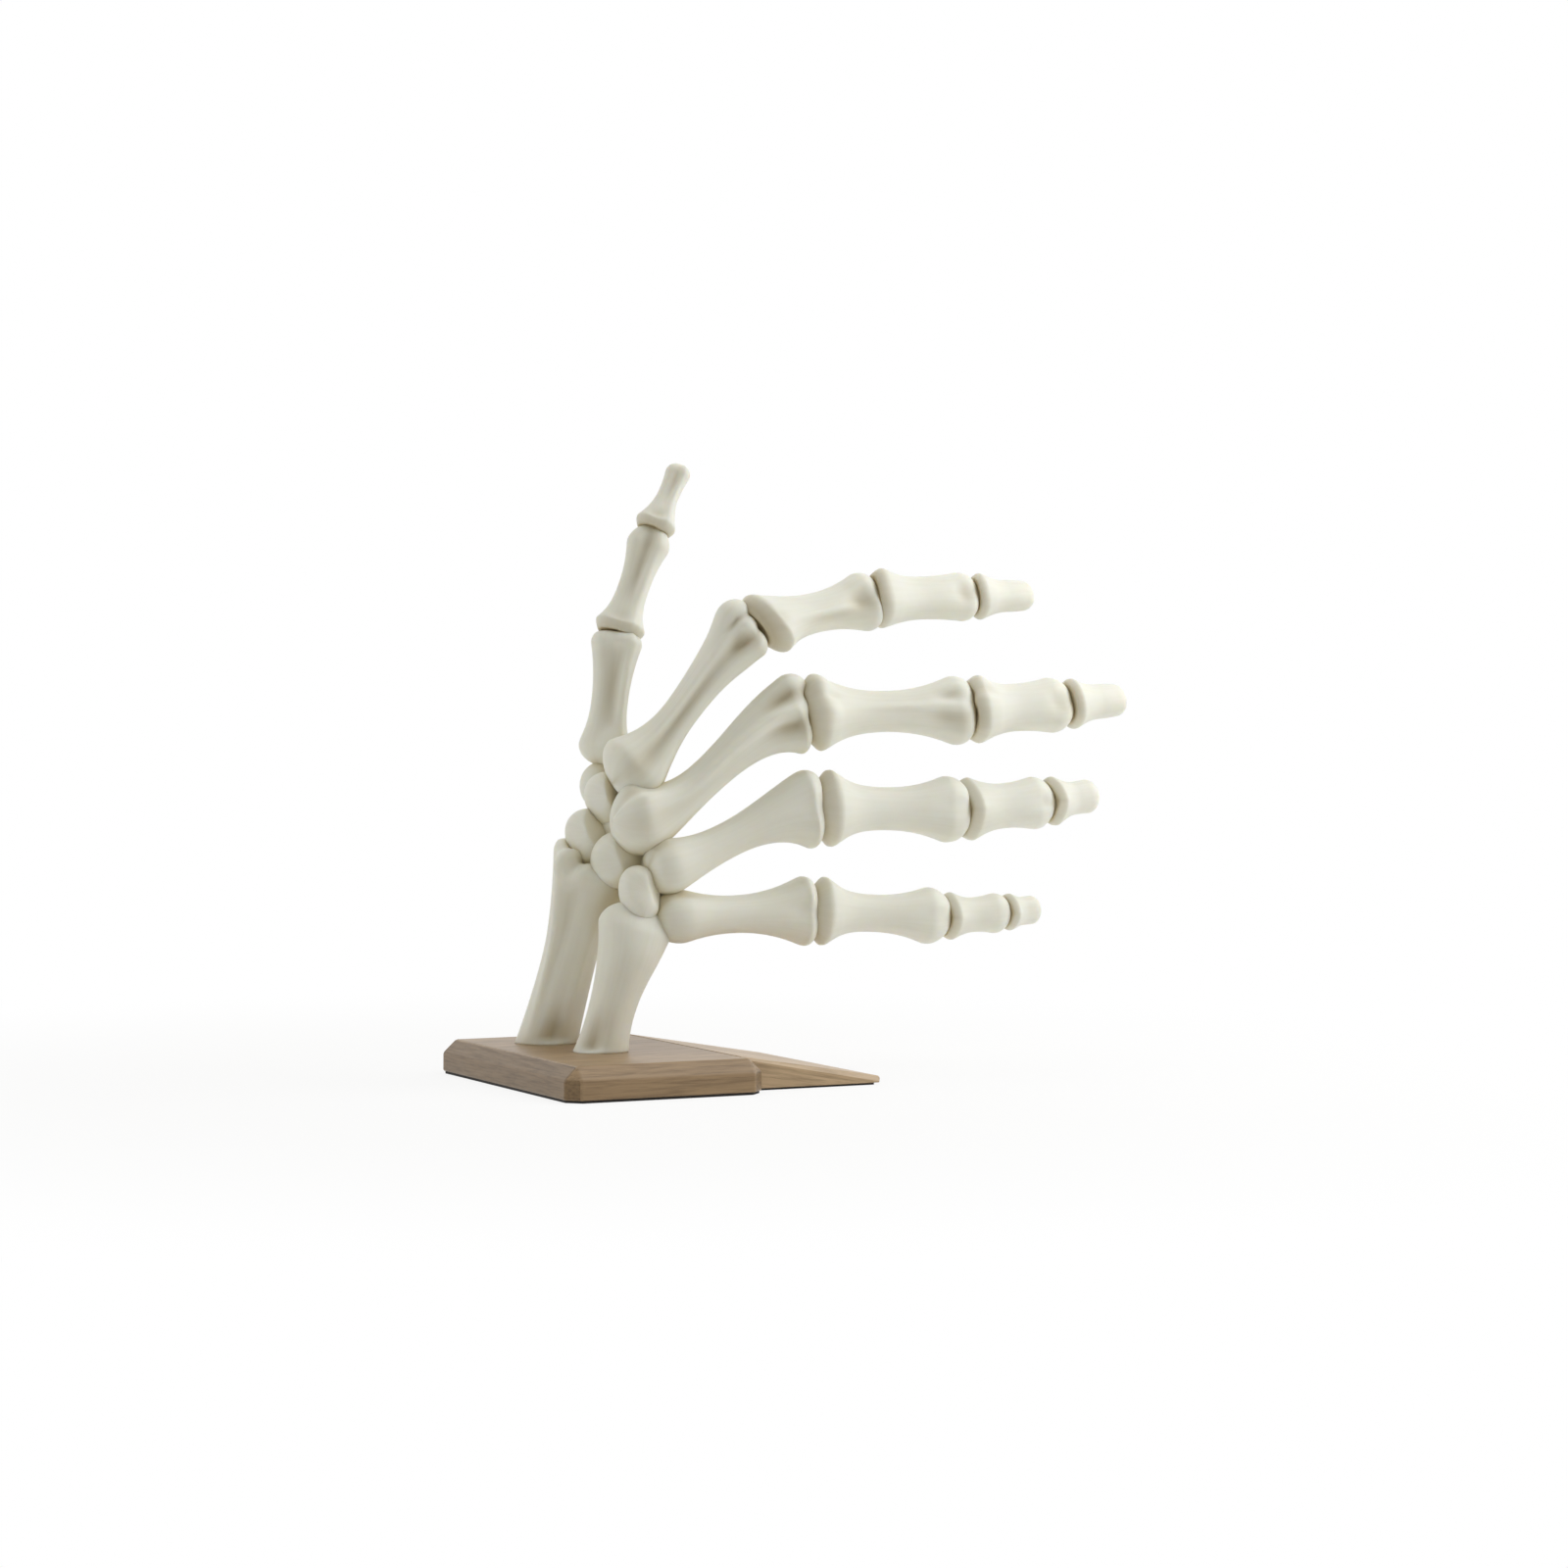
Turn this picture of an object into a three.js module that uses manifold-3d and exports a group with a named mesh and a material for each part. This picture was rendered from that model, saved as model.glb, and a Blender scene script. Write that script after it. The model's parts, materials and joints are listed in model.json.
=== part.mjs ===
// Skeleton hand bookend: the bones of a right hand, cast one by one and pinned together, standing on
// a chamfered board with a wedge tongue that reaches out under the fingers. Millimetres, +Z up, +X
// along the fingers, -Y the back of the hand. The origin is the board's centre, on the pad's underside.
import * as THREE from 'three';
import { ConvexGeometry } from 'three/addons/geometries/ConvexGeometry.js';
import { mergeVertices } from 'three/addons/utils/BufferGeometryUtils.js';
import Module from 'manifold-3d';

const wasm = await Module();
wasm.setup();

// Base: board, tongue and pad
const BOARD_LENGTH = 67;
const BOARD_WIDTH = 110;
const BOARD_THICK = 10.3;
const CHAMFER_IN = 4.4;
const CHAMFER_DOWN = 4.2;
const CORNER_CUT = 4.1;
const TONGUE_WIDTH = 90;
const TONGUE_REACH = 45.5;
const TONGUE_NOSE = 2.1;
const EASE_ROOT = 0.8;
const EASE_NOSE = 1.7;
const PAD_THICK = 0.8;
const PAD_INSET = 0.6;

// Fasteners: dowels of the tongue, screws of the forearm, pins of the hand
const DOWEL_RADIUS = 2.5;
const DOWEL_LENGTH = 22;
const DOWEL_SPACING = 50;
const DOWEL_HEIGHT = 4.2;
const SCREW_RADIUS = 2;
const SCREW_HEAD = 4;
const SCREW_SINK = 0.6;
const SCREW_BITE = 16;
const SCREW_TIP = 3;
const PIN_RADIUS = 1.4;
const TIP_PIN_RADIUS = 1;
const PIN_DEPTH = 8;
const TIP_PIN_DEPTH = 6;
const ROOT_PIN_DEPTH = 13;

// Clearance left between pieces that touch
const FIT = 0.3;

// Forearm bones: the foot on the board and the top of the shaft, with the widths in between
const RADIUS = {
  foot: [-7.7, 25.7],
  top: [4.3, 13.8, 69.8],
  widths: { foot: 19.4, shaft: 16.6, head: 27.6 },
  dome: 0.3,
  slant: [-0.35, -0.35],
  waist: 0.45,
};
const ULNA = {
  foot: [-3.7, -10],
  top: [10.2, -10, 58],
  widths: { foot: 17.2, shaft: 13.9, head: 23 },
  dome: 0.45,
  slant: [0, 0],
  waist: 0.3,
};

// Wrist bones: centre, half sizes along X, Y and Z, and the turn about Y in degrees
const CARPALS = {
  triquetrum: { centre: [11.1, -10, 61.9], half: [7.1, 7.6, 8.7], turn: -20 },
  lunate: { centre: [8.6, 2.4, 71.3], half: [9.6, 9.2, 9.4], turn: -25 },
  scaphoid: { centre: [2.6, 14, 79.6], half: [7.4, 8.5, 8], turn: -20 },
  trapezoid: { centre: [8.4, 12, 91.5], half: [7.3, 8.6, 8], turn: -15 },
  trapezium: { centre: [10.6, 22.3, 94.6], half: [6.8, 7.4, 7.8], turn: 0 },
  capitate: { centre: [15.5, 9.5, 82], half: [8.5, 8, 9.5], turn: 30 },
  hamate: { centre: [20, 2.6, 66.6], half: [9, 9.5, 11], turn: 0 },
};

// Each finger: where its metacarpal starts, the way its back faces, the degrees by which its bones are
// rolled towards the thumb, and the bones from the wrist out. A bone has its length between joints, lift
// and turn in degrees, and the widths of base, shaft and head. Some have the degrees by which the axis
// leans at base and head, or by which the end of the base is cut askew.
const FINGERS = {
  ring: {
    root: [14.3, -9, 68.6],
    back: [0, -1, 0],
    roll: 6,
    bones: {
      metacarpal: {
        length: 63.8, lift: 17.2, turn: 0, base: 18.4, shaft: 11.7, head: 25.3, atBase: -10, atHead: -12,
      },
      proximal_phalanx: { length: 54.4, lift: -1.6, turn: 2.1, base: 25.2, shaft: 14.2, head: 22.1 },
      middle_phalanx: { length: 34.6, lift: 3.5, turn: 4.1, base: 21.5, shaft: 15.1, head: 17.8 },
      distal_phalanx: { length: 20.4, lift: 5, turn: 10, base: 17.2, shaft: 11, head: 10.5 },
    },
  },
  middle: {
    root: [3.2, -2.9, 83.7],
    back: [0, -1, 0],
    roll: 24,
    bones: {
      metacarpal: {
        length: 76.7, lift: 27.2, turn: -3.4, base: 24.8, shaft: 12.1, head: 25.8, atBase: -30, atHead: -25,
      },
      proximal_phalanx: {
        length: 61.4, lift: 0.2, turn: 0.9, base: 25.2, shaft: 13.7, head: 23.4, askew: 4,
      },
      middle_phalanx: { length: 40.4, lift: 2.8, turn: 4.3, base: 22.7, shaft: 16.2, head: 19 },
      distal_phalanx: { length: 24.6, lift: 3.7, turn: 9.4, base: 17.5, shaft: 11.9, head: 10.1 },
    },
  },
  index: {
    root: [7, 5.4, 95.4],
    back: [0, -1, 0],
    roll: 28,
    bones: {
      metacarpal: {
        length: 71.6, lift: 46.6, turn: -8.9, base: 24.3, shaft: 11.5, head: 21, atBase: -14, atHead: -10,
      },
      proximal_phalanx: {
        length: 51.2, lift: 9.9, turn: 11.2, base: 21.4, shaft: 13.3, head: 20.2, askew: 16,
      },
      middle_phalanx: { length: 40.7, lift: 1.6, turn: 7.1, base: 20.6, shaft: 14.8, head: 17 },
      distal_phalanx: { length: 24.4, lift: 1.5, turn: 9.4, base: 16.2, shaft: 11.2, head: 9.1 },
    },
  },
  little: {
    root: [17.7, -12, 53.3],
    back: [0, -1, 0],
    roll: 0,
    bones: {
      metacarpal: { length: 54.2, lift: 0.7, turn: 2.1, base: 17.3, shaft: 12.2, head: 22.1 },
      proximal_phalanx: { length: 50.6, lift: -3.8, turn: 2.3, base: 22.1, shaft: 12.3, head: 18.9 },
      middle_phalanx: { length: 24.2, lift: 1.5, turn: 4.6, base: 16.3, shaft: 11.6, head: 13.5 },
      distal_phalanx: { length: 14.4, lift: 2, turn: 12.2, base: 12.9, shaft: 9.5, head: 9 },
    },
  },
  thumb: {
    root: [10.8, 21.9, 100.7],
    back: [-0.6, -0.8, 0],
    roll: 0,
    bones: {
      metacarpal: { length: 44.1, lift: 80.1, turn: 22.8, base: 16.5, shaft: 12, head: 16.8 },
      proximal_phalanx: { length: 37.9, lift: 65.2, turn: 18.4, base: 17, shaft: 10.2, head: 14.4 },
      distal_phalanx: { length: 25.9, lift: 58.2, turn: 21.9, base: 14, shaft: 7.6, head: 8 },
    },
  },
};

// Form of each kind of bone: knob or dish at the base and dome at the head, as shares of the half
// width there; the place of the waist; depth against width at base, shaft and head; head groove.
const FORMS = {
  metacarpal: { knob: 0.75, dome: 0.55, waist: 0.42, depth: [0.95, 0.95, 0.88], groove: 0.16 },
  proximal_phalanx: { dish: 0.12, dome: 0.84, waist: 0.5, depth: [0.92, 0.82, 0.76], groove: 0.14 },
  middle_phalanx: { dish: 0.12, dome: 0.82, waist: 0.5, depth: [0.9, 0.78, 0.74], groove: 0.1 },
  distal_phalanx: { dish: 0.1, dome: 0.95, waist: 0.62, depth: [0.9, 0.8, 0.8], groove: 0 },
};
const RIM_SET = 0.2;
const LIP = 0.84;
const SHOULDER = 0.96;
const TAPER = 2.1;
const SQUARENESS = 2.35;
const GROOVE_SPREAD = 0.34;
const GROOVE_FROM = 1.6;
const GROOVE_RUN = 1.2;
const SLANT_FROM = 0.6;

// Faceting: sides of a section, degrees of the rings on a rounded end, shares of those on the sides
const END_RINGS = [0, 32, 62, 90];
const SIDE_RINGS = [0.22, 0.5];
const NOSE_RINGS = [-60, -30, 0, 30, 60];
const BONE_SIDES = 12;
const CARPAL_SIDES = 12;
const CARPAL_RINGS = 8;
const ROD_SIDES = 8;
const MERGE = 1e-4;

const MATERIALS = {
  bone: { color: 0xe2decf, roughness: 0.5, metalness: 0 },
  oak: { color: 0x8f7357, roughness: 0.7, metalness: 0 },
  beech: { color: 0xc9a878, roughness: 0.7, metalness: 0 },
  rubber: { color: 0x2b2622, roughness: 0.9, metalness: 0 },
  steel: { color: 0x9a9c9f, roughness: 0.35, metalness: 1 },
};

const BOARD_TOP = PAD_THICK + BOARD_THICK;
const BOARD_EDGE = BOARD_LENGTH / 2;
const ROOT_FACE = BOARD_EDGE - CHAMFER_IN;

const vector = ([x, y, z]) => new THREE.Vector3(x, y, z);
const mix = THREE.MathUtils.lerp;
const ease = (value) => THREE.MathUtils.smoothstep(value, 0, 1);

// Geometry with only its positions, and with the corners that its faces share merged.
function welded(geometry) {
  const bare = geometry.clone();
  bare.deleteAttribute('normal');
  bare.deleteAttribute('uv');
  return mergeVertices(bare, MERGE);
}

// A closed solid from a geometry, without the folded triangles at a revolve's poles.
function solidOf(geometry) {
  const mesh = welded(geometry);
  const corners = Array.from(mesh.index.array);
  const faces = [];
  for (let i = 0; i < corners.length; i += 3) {
    const [a, b, c] = corners.slice(i, i + 3);
    if (a !== b && b !== c && c !== a) faces.push(a, b, c);
  }
  return new wasm.Manifold(new wasm.Mesh({
    numProp: 3,
    vertProperties: new Float32Array(mesh.attributes.position.array),
    triVerts: new Uint32Array(faces),
  }));
}

// The same geometry with its skin moved outwards.
function grown(geometry, distance) {
  const mesh = welded(geometry);
  mesh.computeVertexNormals();
  const { position, normal } = mesh.attributes;
  for (let i = 0; i < position.count; i++) {
    position.setX(i, position.getX(i) + distance * normal.getX(i));
    position.setY(i, position.getY(i) + distance * normal.getY(i));
    position.setZ(i, position.getZ(i) + distance * normal.getZ(i));
  }
  return mesh;
}

// The largest body of a cut solid: offcuts fall away.
function largest(solid) {
  const bodies = solid.decompose();
  return bodies.reduce((best, body) => (body.volume() > best.volume() ? body : best));
}

function geometryOf(solid) {
  const mesh = solid.getMesh();
  const geometry = new THREE.BufferGeometry();
  geometry.setAttribute('position', new THREE.BufferAttribute(Float32Array.from(mesh.vertProperties), 3));
  geometry.setIndex(Array.from(mesh.triVerts));
  geometry.computeVertexNormals();
  return geometry;
}

// A revolve about the bone's axis, from stations of distance along the axis and half width.
function revolve(stations, sides) {
  const points = stations.map(([along, radius]) => new THREE.Vector2(radius, along));
  return new THREE.LatheGeometry(points, sides);
}

// Stations on a rounded end: from the widest ring at start to the pole, depth further on.
function roundEnd(start, depth, radius, angles) {
  return angles.map((degrees) => {
    const angle = THREE.MathUtils.degToRad(degrees);
    return [start + depth * Math.sin(angle), degrees === 90 ? 0 : radius * Math.cos(angle)];
  });
}

// Stations of the concave sides between two ends, sunk to the waist.
function shaftStations(from, to, waistShare, base, shaft, head) {
  const waist = mix(from, to, waistShare);
  const sunk = (end, t) => shaft + (end - shaft) * (1 - t) ** TAPER;
  return [
    ...[0, ...SIDE_RINGS].map((t) => [mix(from, waist, t), sunk(base, t)]),
    [waist, shaft],
    ...SIDE_RINGS.toReversed().map((t) => [mix(to, waist, t), sunk(head, t)]),
  ];
}

// Outline of a hand bone: a knob or a dished base, the shaft, and the domed head.
function boneStations({ length, base, shaft, head, form }) {
  const neck = length - form.dome * head;
  const rim = base * (form.knob ?? RIM_SET);
  const dish = (form.dish ?? 0) * base;
  const start = form.knob
    ? roundEnd(rim, -rim, base, END_RINGS.slice(1).reverse())
    : [[0, 0], [-0.4 * dish, 0.45 * base], [-dish, LIP * base], [0.3 * rim, SHOULDER * base]];
  const sides = shaftStations(rim, neck, form.waist, base, shaft, head);
  return [...start, ...sides, ...roundEnd(neck, length - neck, head, END_RINGS)];
}

const slopeOf = (degrees = 0) => -Math.tan(THREE.MathUtils.degToRad(degrees));

// The bone's axis swings aside to leave each end at its own lean, as a cubic between the joints does.
function swing(t, lean) {
  const atBase = slopeOf(lean.atBase);
  const atHead = slopeOf(lean.atHead);
  return {
    aside: atBase * (t ** 3 - 2 * t ** 2 + t) + atHead * (t ** 3 - t ** 2),
    slope: atBase * (3 * t ** 2 - 4 * t + 1) + atHead * (3 * t ** 2 - 2 * t),
  };
}

// Presses the round revolve into bone: flatter front to back, squarer, with a groove over the head,
// then rolled about its axis and bent along it.
function sculpt(geometry, { length, base, head, form, lean, roll }) {
  const position = geometry.attributes.position;
  const [baseDepth, shaftDepth, headDepth] = form.depth;
  const rollCos = Math.cos(THREE.MathUtils.degToRad(roll));
  const rollSin = Math.sin(THREE.MathUtils.degToRad(roll));
  for (let i = 0; i < position.count; i++) {
    const side = position.getX(i);
    const along = position.getY(i);
    const back = position.getZ(i);
    const t = THREE.MathUtils.clamp(along / length, 0, 1);
    const nearBase = mix(baseDepth, shaftDepth, ease(2 * t));
    const depth = t < 0.5 ? nearBase : mix(shaftDepth, headDepth, ease(2 * t - 1));
    const angle = Math.atan2(back, side);
    const power = Math.abs(Math.cos(angle)) ** SQUARENESS + Math.abs(Math.sin(angle)) ** SQUARENESS;
    const square = power ** (-1 / SQUARENESS);
    const onHead = ease((along - length + GROOVE_FROM * head) / (GROOVE_RUN * head));
    const valley = form.groove * onHead * Math.exp(-((side / (GROOVE_SPREAD * head)) ** 2));
    const flat = side * square;
    const deep = back * square * depth * (1 - valley);
    const across = flat * rollCos - deep * rollSin;
    const { aside, slope } = swing(t, lean);
    const cut = slopeOf(lean.askew) * (1 - ease(along / (2 * base)));
    const tilt = Math.atan(slope + cut);
    const past = along - t * length;
    position.setX(i, length * aside + across * Math.cos(tilt) + past * Math.sin(tilt));
    position.setY(i, t * length - across * Math.sin(tilt) + past * Math.cos(tilt));
    position.setZ(i, flat * rollSin + deep * rollCos);
  }
  return geometry;
}

// The placement of a piece built along +Y, back to +Z, that starts at a point and runs along an axis.
function placement(start, axis, backHint) {
  const side = new THREE.Vector3().crossVectors(axis, backHint).normalize();
  const back = new THREE.Vector3().crossVectors(side, axis);
  return new THREE.Matrix4().makeBasis(side, axis, back).setPosition(start);
}

function direction(lift, turn) {
  const up = THREE.MathUtils.degToRad(lift);
  const round = THREE.MathUtils.degToRad(turn);
  return new THREE.Vector3(Math.cos(up) * Math.cos(round), Math.cos(up) * Math.sin(round), Math.sin(up));
}

// The bones of one finger, joint by joint, with half the clearance left free at each end.
function fingerBones(finger) {
  const start = vector(finger.root);
  return Object.entries(finger.bones).map(([kind, size]) => {
    const axis = direction(size.lift, size.turn);
    const joint = start.clone();
    const bone = {
      kind,
      joint,
      axis,
      length: size.length - FIT,
      base: size.base / 2,
      shaft: size.shaft / 2,
      head: size.head / 2,
      form: FORMS[kind],
      lean: size,
      roll: finger.roll,
    };
    const foot = joint.clone().addScaledVector(axis, FIT / 2);
    bone.place = placement(foot, axis, vector(finger.back));
    bone.geometry = sculpt(revolve(boneStations(bone), BONE_SIDES), bone).applyMatrix4(bone.place);
    start.addScaledVector(axis, size.length);
    return bone;
  });
}

function carpalGeometry({ centre, half, turn }) {
  const pebble = new THREE.SphereGeometry(1, CARPAL_SIDES, CARPAL_RINGS);
  pebble.scale(...half);
  pebble.rotateY(THREE.MathUtils.degToRad(turn));
  return pebble.translate(...centre);
}

// A forearm bone: a flared foot that runs on below the board's top, where it is cut flat.
function forearmGeometry({ foot, top, widths, dome, slant, waist }) {
  const start = new THREE.Vector3(foot[0], foot[1], BOARD_TOP);
  const axis = vector(top).sub(start);
  const length = axis.length();
  axis.normalize();
  const head = widths.head / 2;
  const neck = length - dome * head;
  const sides = shaftStations(0, neck, waist, widths.foot / 2, widths.shaft / 2, head);
  const stub = -widths.foot / 2;
  const end = roundEnd(neck, dome * head, head, END_RINGS);
  const stock = revolve([[stub, 0], [stub, widths.foot / 2], ...sides, ...end], BONE_SIDES);
  const position = stock.attributes.position;
  for (let i = 0; i < position.count; i++) {
    const along = position.getY(i);
    const atTop = ease((along / length - SLANT_FROM) / (1 - SLANT_FROM));
    position.setY(i, along + atTop * (slant[0] * position.getX(i) + slant[1] * position.getZ(i)));
  }
  return stock.applyMatrix4(placement(start, axis, new THREE.Vector3(0, -1, 0)));
}

// Any way that no rod runs along, to set the rod's facets by
const ROD_BACK = new THREE.Vector3(0.31, -0.83, 0.46);

// A straight round rod between two points.
function rod(from, to, radius) {
  const axis = to.clone().sub(from);
  const length = axis.length();
  const bar = new THREE.CylinderGeometry(radius, radius, length, ROD_SIDES).translate(0, length / 2, 0);
  return bar.applyMatrix4(placement(from, axis.normalize(), ROD_BACK));
}

// The pin or dowel from one point to another, and the hole that it needs.
function pinAndHole(from, to, radius) {
  const run = to.clone().sub(from).normalize().multiplyScalar(FIT);
  return {
    geometry: rod(from, to, radius),
    hole: solidOf(rod(from.clone().sub(run), to.clone().add(run), radius + FIT)),
  };
}

// A countersunk wood screw, driven up through the board; the hole opens at the board's underside.
function screwAndHole(x, y) {
  const low = PAD_THICK + SCREW_SINK;
  const neck = low + SCREW_HEAD - SCREW_RADIUS;
  const high = BOARD_TOP + SCREW_BITE;
  const screw = [
    [low, 0],
    [low, SCREW_HEAD],
    [neck, SCREW_RADIUS],
    [high - SCREW_TIP, SCREW_RADIUS],
    [high, 0],
  ];
  const hole = [
    [0, 0],
    [0, SCREW_HEAD + FIT],
    [low, SCREW_HEAD + FIT],
    [neck, SCREW_RADIUS + FIT],
    [high + FIT, SCREW_RADIUS + FIT],
    [high + FIT, 0],
  ];
  const stand = (stations) => revolve(stations, ROD_SIDES).rotateX(Math.PI / 2).translate(x, y, 0);
  return { geometry: stand(screw), hole: solidOf(stand(hole)) };
}

const CORNERS = [[1, 1], [-1, 1], [-1, -1], [1, -1]];

// Corners of the board's plan with its upright corners cut off.
function boardPlan(inset) {
  const x = BOARD_EDGE - inset;
  const y = BOARD_WIDTH / 2 - inset;
  return CORNERS.flatMap(([sx, sy]) => {
    const ends = [[sx * (x - CORNER_CUT), sy * y], [sx * x, sy * (y - CORNER_CUT)]];
    return sx * sy > 0 ? ends.reverse() : ends;
  });
}

// The board: each upright corner facet runs up to the sharp corner of the top face.
function boardSolid() {
  const ring = (z) => boardPlan(0).map(([x, y]) => new THREE.Vector3(x, y, z));
  const topX = BOARD_EDGE - CHAMFER_IN;
  const topY = BOARD_WIDTH / 2 - CHAMFER_IN;
  const top = CORNERS.map(([sx, sy]) => new THREE.Vector3(sx * topX, sy * topY, BOARD_TOP));
  const block = new ConvexGeometry([...ring(PAD_THICK), ...ring(BOARD_TOP - CHAMFER_DOWN), ...top]);
  const notch = new THREE.BoxGeometry(2 * CHAMFER_IN, TONGUE_WIDTH + 2 * FIT, 4 * BOARD_TOP);
  return solidOf(block).subtract(solidOf(notch.translate(ROOT_FACE + CHAMFER_IN, 0, 0)));
}

// The tongue: a wedge from the board's top down to a rounded nose, its long edges eased.
function tongueSolid() {
  const root = ROOT_FACE + FIT;
  const noseRadius = TONGUE_NOSE / 2;
  const nose = BOARD_EDGE + TONGUE_REACH - noseRadius;
  const half = TONGUE_WIDTH / 2;
  const ends = [[root, BOARD_TOP, EASE_ROOT], [nose, PAD_THICK + TONGUE_NOSE, EASE_NOSE]];
  const points = [];
  for (const s of [-1, 1]) {
    for (const [x, high, eased] of ends) {
      points.push(new THREE.Vector3(x, s * half, PAD_THICK));
      points.push(new THREE.Vector3(x, s * half, high - eased));
      points.push(new THREE.Vector3(x, s * (half - eased), high));
    }
    for (const [rise, ahead] of roundEnd(0, noseRadius, noseRadius, NOSE_RINGS)) {
      points.push(new THREE.Vector3(nose + ahead, s * (half - EASE_NOSE), PAD_THICK + noseRadius + rise));
    }
  }
  return solidOf(new ConvexGeometry(points));
}

// One thin sheet under the board and the tongue, set in from their edges.
function padGeometry() {
  const plan = boardPlan(PAD_INSET);
  const nose = BOARD_EDGE + TONGUE_REACH - TONGUE_NOSE;
  const half = TONGUE_WIDTH / 2 - EASE_NOSE;
  const edge = BOARD_EDGE - PAD_INSET;
  const arms = [[edge, -half], [nose, -half], [nose, half], [edge, half]];
  const outline = new THREE.Shape([...plan, ...arms].map(([x, y]) => new THREE.Vector2(x, y)));
  return new THREE.ExtrudeGeometry(outline, { depth: PAD_THICK, bevelEnabled: false });
}

const hand = new THREE.Group();

function addPiece(name, geometry, material) {
  const piece = new THREE.Mesh(geometry, new THREE.MeshStandardMaterial(MATERIALS[material]));
  piece.name = name;
  hand.add(piece);
}

// All bones, in the order in which one seats against another: each is hollowed by those before it.
const fingers = {};
for (const [name, finger] of Object.entries(FINGERS)) fingers[name] = fingerBones(finger);
const stock = [];
for (const [name, [metacarpal]] of Object.entries(fingers)) {
  stock.push([`${name}_${metacarpal.kind}`, metacarpal.geometry]);
}
for (const [name, carpal] of Object.entries(CARPALS)) stock.push([name, carpalGeometry(carpal)]);
stock.push(['ulna', forearmGeometry(ULNA)], ['radius', forearmGeometry(RADIUS)]);
for (const [name, chain] of Object.entries(fingers)) {
  for (const bone of chain.slice(1)) stock.push([`${name}_${bone.kind}`, bone.geometry]);
}
const bones = {};
const skins = [];
for (const [name, geometry] of stock) {
  const cut = skins.reduce((solid, skin) => solid.subtract(skin), solidOf(geometry));
  bones[name] = largest(cut);
  skins.push(solidOf(grown(geometry, FIT)));
}

// The forearm stands on the board: cut flat just above its top.
const below = new THREE.BoxGeometry(4 * BOARD_LENGTH, 4 * BOARD_WIDTH, 8 * BOARD_TOP);
const ground = solidOf(below.translate(0, 0, BOARD_TOP + FIT - 4 * BOARD_TOP));
for (const name of ['ulna', 'radius']) bones[name] = largest(bones[name].subtract(ground));

// Pins across the finger joints, and from each metacarpal into the wrist
const pins = {};
for (const [name, chain] of Object.entries(fingers)) {
  chain.slice(1).forEach((bone, i) => {
    const last = bone.kind === 'distal_phalanx';
    const depth = last ? TIP_PIN_DEPTH : PIN_DEPTH;
    const from = bone.joint.clone().addScaledVector(chain[i].axis, -depth);
    const to = bone.joint.clone().addScaledVector(bone.axis, depth);
    const joint = last ? 'tip' : ['knuckle', 'middle'][i];
    pins[`${name}_${joint}_pin`] = pinAndHole(from, to, last ? TIP_PIN_RADIUS : PIN_RADIUS);
  });
}
const inCarpal = (name, x, y, z) => vector(CARPALS[name].centre).add(new THREE.Vector3(x, y, z));
const inRoot = (name) => {
  const { length, lean, place } = fingers[name][0];
  const { aside } = swing(ROOT_PIN_DEPTH / length, lean);
  return new THREE.Vector3(length * aside, ROOT_PIN_DEPTH, 0).applyMatrix4(place);
};
const inForearm = ({ foot, top }, drop, x, y) => {
  const base = new THREE.Vector3(foot[0], foot[1], BOARD_TOP);
  const axis = vector(top).sub(base).normalize();
  return vector(top).addScaledVector(axis, -drop).add(new THREE.Vector3(x, y, 0));
};
const WRIST_PINS = {
  thumb_root_pin: [inRoot('thumb'), inCarpal('trapezium', 0, 0, 1)],
  index_root_pin: [inRoot('index'), inCarpal('scaphoid', 1, 0, 2)],
  middle_root_pin: [inRoot('middle'), inCarpal('lunate', 2, 3, 1)],
  ring_root_pin: [inRoot('ring'), inCarpal('hamate', 1, 0, 1)],
  little_root_pin: [inRoot('little'), inCarpal('hamate', 2, -2, -5)],
  trapezium_pin: [inCarpal('trapezium', -0.6, 2, -3.8), inCarpal('trapezoid', 0.6, 1.5, -0.8)],
  hamate_pin: [inCarpal('hamate', -3, -1, 0), inCarpal('triquetrum', 0, 2, 1)],
  scaphoid_pin: [inCarpal('scaphoid', -1, 3, -1), inForearm(RADIUS, 14, -2, 4)],
  lunate_pin: [inCarpal('lunate', -2, 3, -2), inForearm(RADIUS, 14, 2, -2)],
  triquetrum_pin: [inCarpal('triquetrum', -1, -1, -1), inForearm(ULNA, 14, 0, 0)],
};
for (const [name, [from, to]] of Object.entries(WRIST_PINS)) pins[name] = pinAndHole(from, to, PIN_RADIUS);

// Screws up into the forearm, set where the leaning bone is over the middle of the screw's bite
const screws = {};
for (const [name, { foot, top }] of Object.entries({ radius: RADIUS, ulna: ULNA })) {
  const share = SCREW_BITE / 2 / (top[2] - BOARD_TOP);
  screws[`${name}_screw`] = screwAndHole(mix(foot[0], top[0], share), mix(foot[1], top[1], share));
}

// Dowels between the board and the tongue
const dowels = {};
for (const [name, s] of [['front', -1], ['rear', 1]]) {
  const middle = new THREE.Vector3(ROOT_FACE + FIT / 2, (s * DOWEL_SPACING) / 2, PAD_THICK + DOWEL_HEIGHT);
  const half = new THREE.Vector3(DOWEL_LENGTH / 2, 0, 0);
  dowels[`${name}_dowel`] = pinAndHole(middle.clone().sub(half), middle.clone().add(half), DOWEL_RADIUS);
}

function drilled(solid, fasteners) {
  return Object.values(fasteners).reduce((left, { hole }) => left.subtract(hole), solid);
}

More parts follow.
